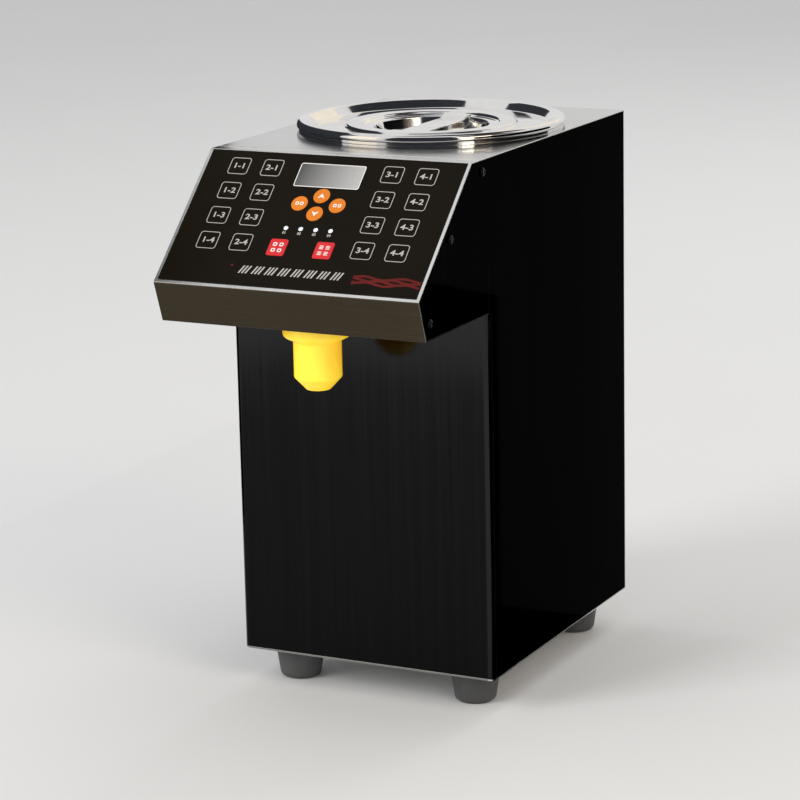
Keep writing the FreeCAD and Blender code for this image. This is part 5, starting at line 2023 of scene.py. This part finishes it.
# ---------------------------------------------------------------- screws
@dataclass
class Screws:
    """One node's screws, each placed where the frame has it."""
    node: str
    finish: str
    head_radius: float
    head_height: float
    shank_radius: float
    slot_reach: float
    slot_width: float = 0.9 * MM
    slot_depth: float = 1.3 * MM
    slot_narrowing: float = 0.45
    slot_thinning: float = 0.3
    rim_round: float = 0.15 * MM
    side_share: float = 0.55
    side_round_share: float = 0.3
    crown_share: float = 0.62
    crown_round: float = 0.8 * MM
    point_share: float = 0.8
    point_start: float = 0.93
    clear_share: float = 1.3
    head_steps: int = 36
    shank_steps: int = 20
    seed: int = 3

    def islands(self) -> list[list[Vector]]:
        """The points of each separate solid in the node.

        Returns:
            A list of points for each solid.
        """
        work = cad_copy(self.node)
        work.verts.ensure_lookup_table()
        seen: set[int] = set()
        found = []
        for vertex in work.verts:
            if vertex.index in seen:
                continue
            seen.add(vertex.index)
            stack, members = [vertex], []
            while stack:
                here = stack.pop()
                members.append(here.co.copy())
                for edge in here.link_edges:
                    other = edge.other_vert(here)
                    if other.index not in seen:
                        seen.add(other.index)
                        stack.append(other)
            found.append(members)
        work.free()
        return found

    def places(self) -> list[tuple[Vector, Vector, float]]:
        """The head's seat, the outward axis and the shank's length of each screw.

        Returns:
            Those three for each screw. Solids as wide as they are long are left out.
        """
        found = []
        for points in self.islands():
            low, high = extent(points)
            size, centre = high - low, (low + high) / 2
            main = max(range(3), key=lambda axis: size[axis])
            if size[main] < self.clear_share * min(size):
                continue
            across = [(main + 1) % 3, (main + 2) % 3]
            wide = [point for point in points
                    if sum((point - centre)[axis] ** 2 for axis in across)
                    > (self.clear_share * self.shank_radius) ** 2]
            middle = sum((point[main] for point in wide), 0.0) / len(wide)
            way = 1 if middle > centre[main] else -1
            outward = Vector([way if index == main else 0 for index in range(3)])
            seat = centre + outward * (size[main] / 2 - self.head_height)
            found.append((seat, outward, size[main] - self.head_height))
        return found

    def head(self) -> bpy.types.Object:
        """A pan head with a cross recess, its seat at the origin.

        Returns:
            The head as an object.
        """
        radius, height = self.head_radius, self.head_height
        side = Corner(radius, height * self.side_share, height * self.side_round_share)
        shape = Turned((Corner(0, 0), Corner(radius, 0, self.rim_round), side,
                        Corner(radius * self.crown_share, height, self.crown_round),
                        Corner(0, height)), self.head_steps, 4)
        made = shape.piece(f"{self.node}_head", Vector())
        work = bmesh.new()
        for turn in (0.0, math.pi / 2):
            cross = bmesh.ops.create_cube(work, size=1.0)["verts"]
            for vertex in cross:
                narrow = self.slot_narrowing if vertex.co.z < 0 else 1.0
                thin = 1 - self.slot_thinning * (1 - narrow)
                vertex.co = Vector((vertex.co.x * 2 * self.slot_reach * narrow,
                                    vertex.co.y * self.slot_width * thin,
                                    vertex.co.z * 2 * self.slot_depth + height))
            bmesh.ops.rotate(work, verts=cross, matrix=Matrix.Rotation(turn, 3, "Z"))
        cutter = new_object("cross", to_mesh(work, "cross"))
        carve(made, cutter, crossed=True)
        settle(made)
        bpy.data.objects.remove(cutter)
        return made

    def build(self) -> None:
        """Makes all the node's screws as one piece."""
        head = self.head()
        radius = self.shank_radius
        shank = Turned((Corner(0, -1.0), Corner(radius * self.point_share, -1.0),
                        Corner(radius, -self.point_start), Corner(radius, 0), Corner(0, 0)),
                       self.shank_steps, 2).piece(f"{self.node}_shank", Vector())
        places = self.places()
        points = bpy.data.meshes.new(f"{self.node}_points")
        points.from_pydata([seat for seat, _, _ in places], [], [])
        axes = [part for _, way, _ in places for part in way]
        points.attributes.new("axis", "FLOAT_VECTOR", "POINT").data.foreach_set("vector", axes)
        reaches = [reach for _, _, reach in places]
        points.attributes.new("shank", "FLOAT", "POINT").data.foreach_set("value", reaches)
        mesh = screws_tree().run(f"{self.node}_set", points, Head=head, Shank=shank,
                                 Seed=self.seed, Finish=FINISHES[self.finish].material())
        for helper in (head, shank):
            bpy.data.objects.remove(helper)
        log.info("%s: %d screws", self.node, len(places))
        dress(new_object(f"{self.node}_set", mesh), self.finish, stands_for=[self.node])


# ---------------------------------------------------------------- inner and rear parts
@dataclass
class Works:
    """The pump, heater, electrics and rear fittings."""
    edges: dict[str, float] = field(default_factory=lambda: {
        "power_inlet": 0.4 * MM, "switch_housing": 0.4 * MM, "switch_rocker": 0.4 * MM,
        "pump_housing": 0.5 * MM, "pump_cover": 0.5 * MM, "pump_bracket": 0.3 * MM,
        "power_supply": 0.25 * MM, "nozzle_elbow": 0.4 * MM, "tank_outlet": 0.2 * MM,
        "pump_motor": 0.6 * MM, "display_module": 0.2 * MM})
    mark: float = 2.1 * MM
    mark_line: float = 0.6 * MM
    mark_steps: int = 40
    backward: float = 0.9
    ink: float = 0.03 * MM

    def rocker_marks(self, body: str) -> None:
        """The ring and the bar on the mains rocker's two faces, moving with it.

        Args:
            body: the CAD body that they move with.
        """
        mesh = frame["nodes"]["switch_rocker"].data
        middle = sum((corner.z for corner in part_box("switch_rocker")), 0.0) / 2
        inner, half = self.mark - self.mark_line, self.mark_line / 2
        ring = Turned((Corner(inner, 0), Corner(self.mark, 0), Corner(self.mark, self.ink),
                       Corner(inner, self.ink)), self.mark_steps)
        bar = block_mesh("bar", (-half, -self.mark, 0.0), (half, self.mark, self.ink))
        marks = {True: ring.mesh("ring", Vector()), False: bar}
        placed = []
        for upper, mark in marks.items():
            faces = [face for face in mesh.polygons
                     if face.normal.y > self.backward
                     and (face.center.z > middle) is upper]
            area = sum(face.area for face in faces)
            centre = sum((face.center * face.area for face in faces), Vector()) / area
            out = sum((face.normal * face.area for face in faces), Vector()).normalized()
            turn = Matrix((Vector((-1, 0, 0)), Vector((0, -out.z, out.y)), out)).transposed()
            placed.append((mark, Matrix.Translation(centre) @ turn.to_4x4()))
        dress(merged("rocker_marks", placed), "white_print", body)

    def build(self) -> None:
        """Dresses each inner part, with softened edges where it has them."""
        bodies = {node: body for body, nodes in frame["record"]["behaviour"]["bodies"].items()
                  for node in nodes}
        for node, radius in self.edges.items():
            dress(softened(node, radius), SLOTS[node], bodies[node], stands_for=[node])
        self.rocker_marks(bodies["switch_rocker"])
        for node in ("control_board", "heater_band", "supply_hose", "discharge_hose",
                     "hose_clamps", "drive_gear", "driven_gear", "foot_screws"):
            mesh = frame["nodes"][node].data
            mesh.materials.clear()
            mesh.materials.append(FINISHES[SLOTS[node]].material())


def write_size() -> None:
    """Updates the view layer."""
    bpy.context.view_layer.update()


def main() -> None:
    """Builds the studio, then each part of the machine."""
    logging.basicConfig(level=logging.INFO, format="%(name)s: %(message)s")
    Studio().build()
    Casing().build()
    Keypad().build()
    TankTop().build()
    Nozzle().build()
    Feet().build()
    Screws("machine_screws", "black_screws", head_radius=3.6 * MM, head_height=2.4 * MM,
           shank_radius=2.0 * MM, slot_reach=1.9 * MM).build()
    Works().build()
    write_size()


if __name__ == "__main__":
    main()
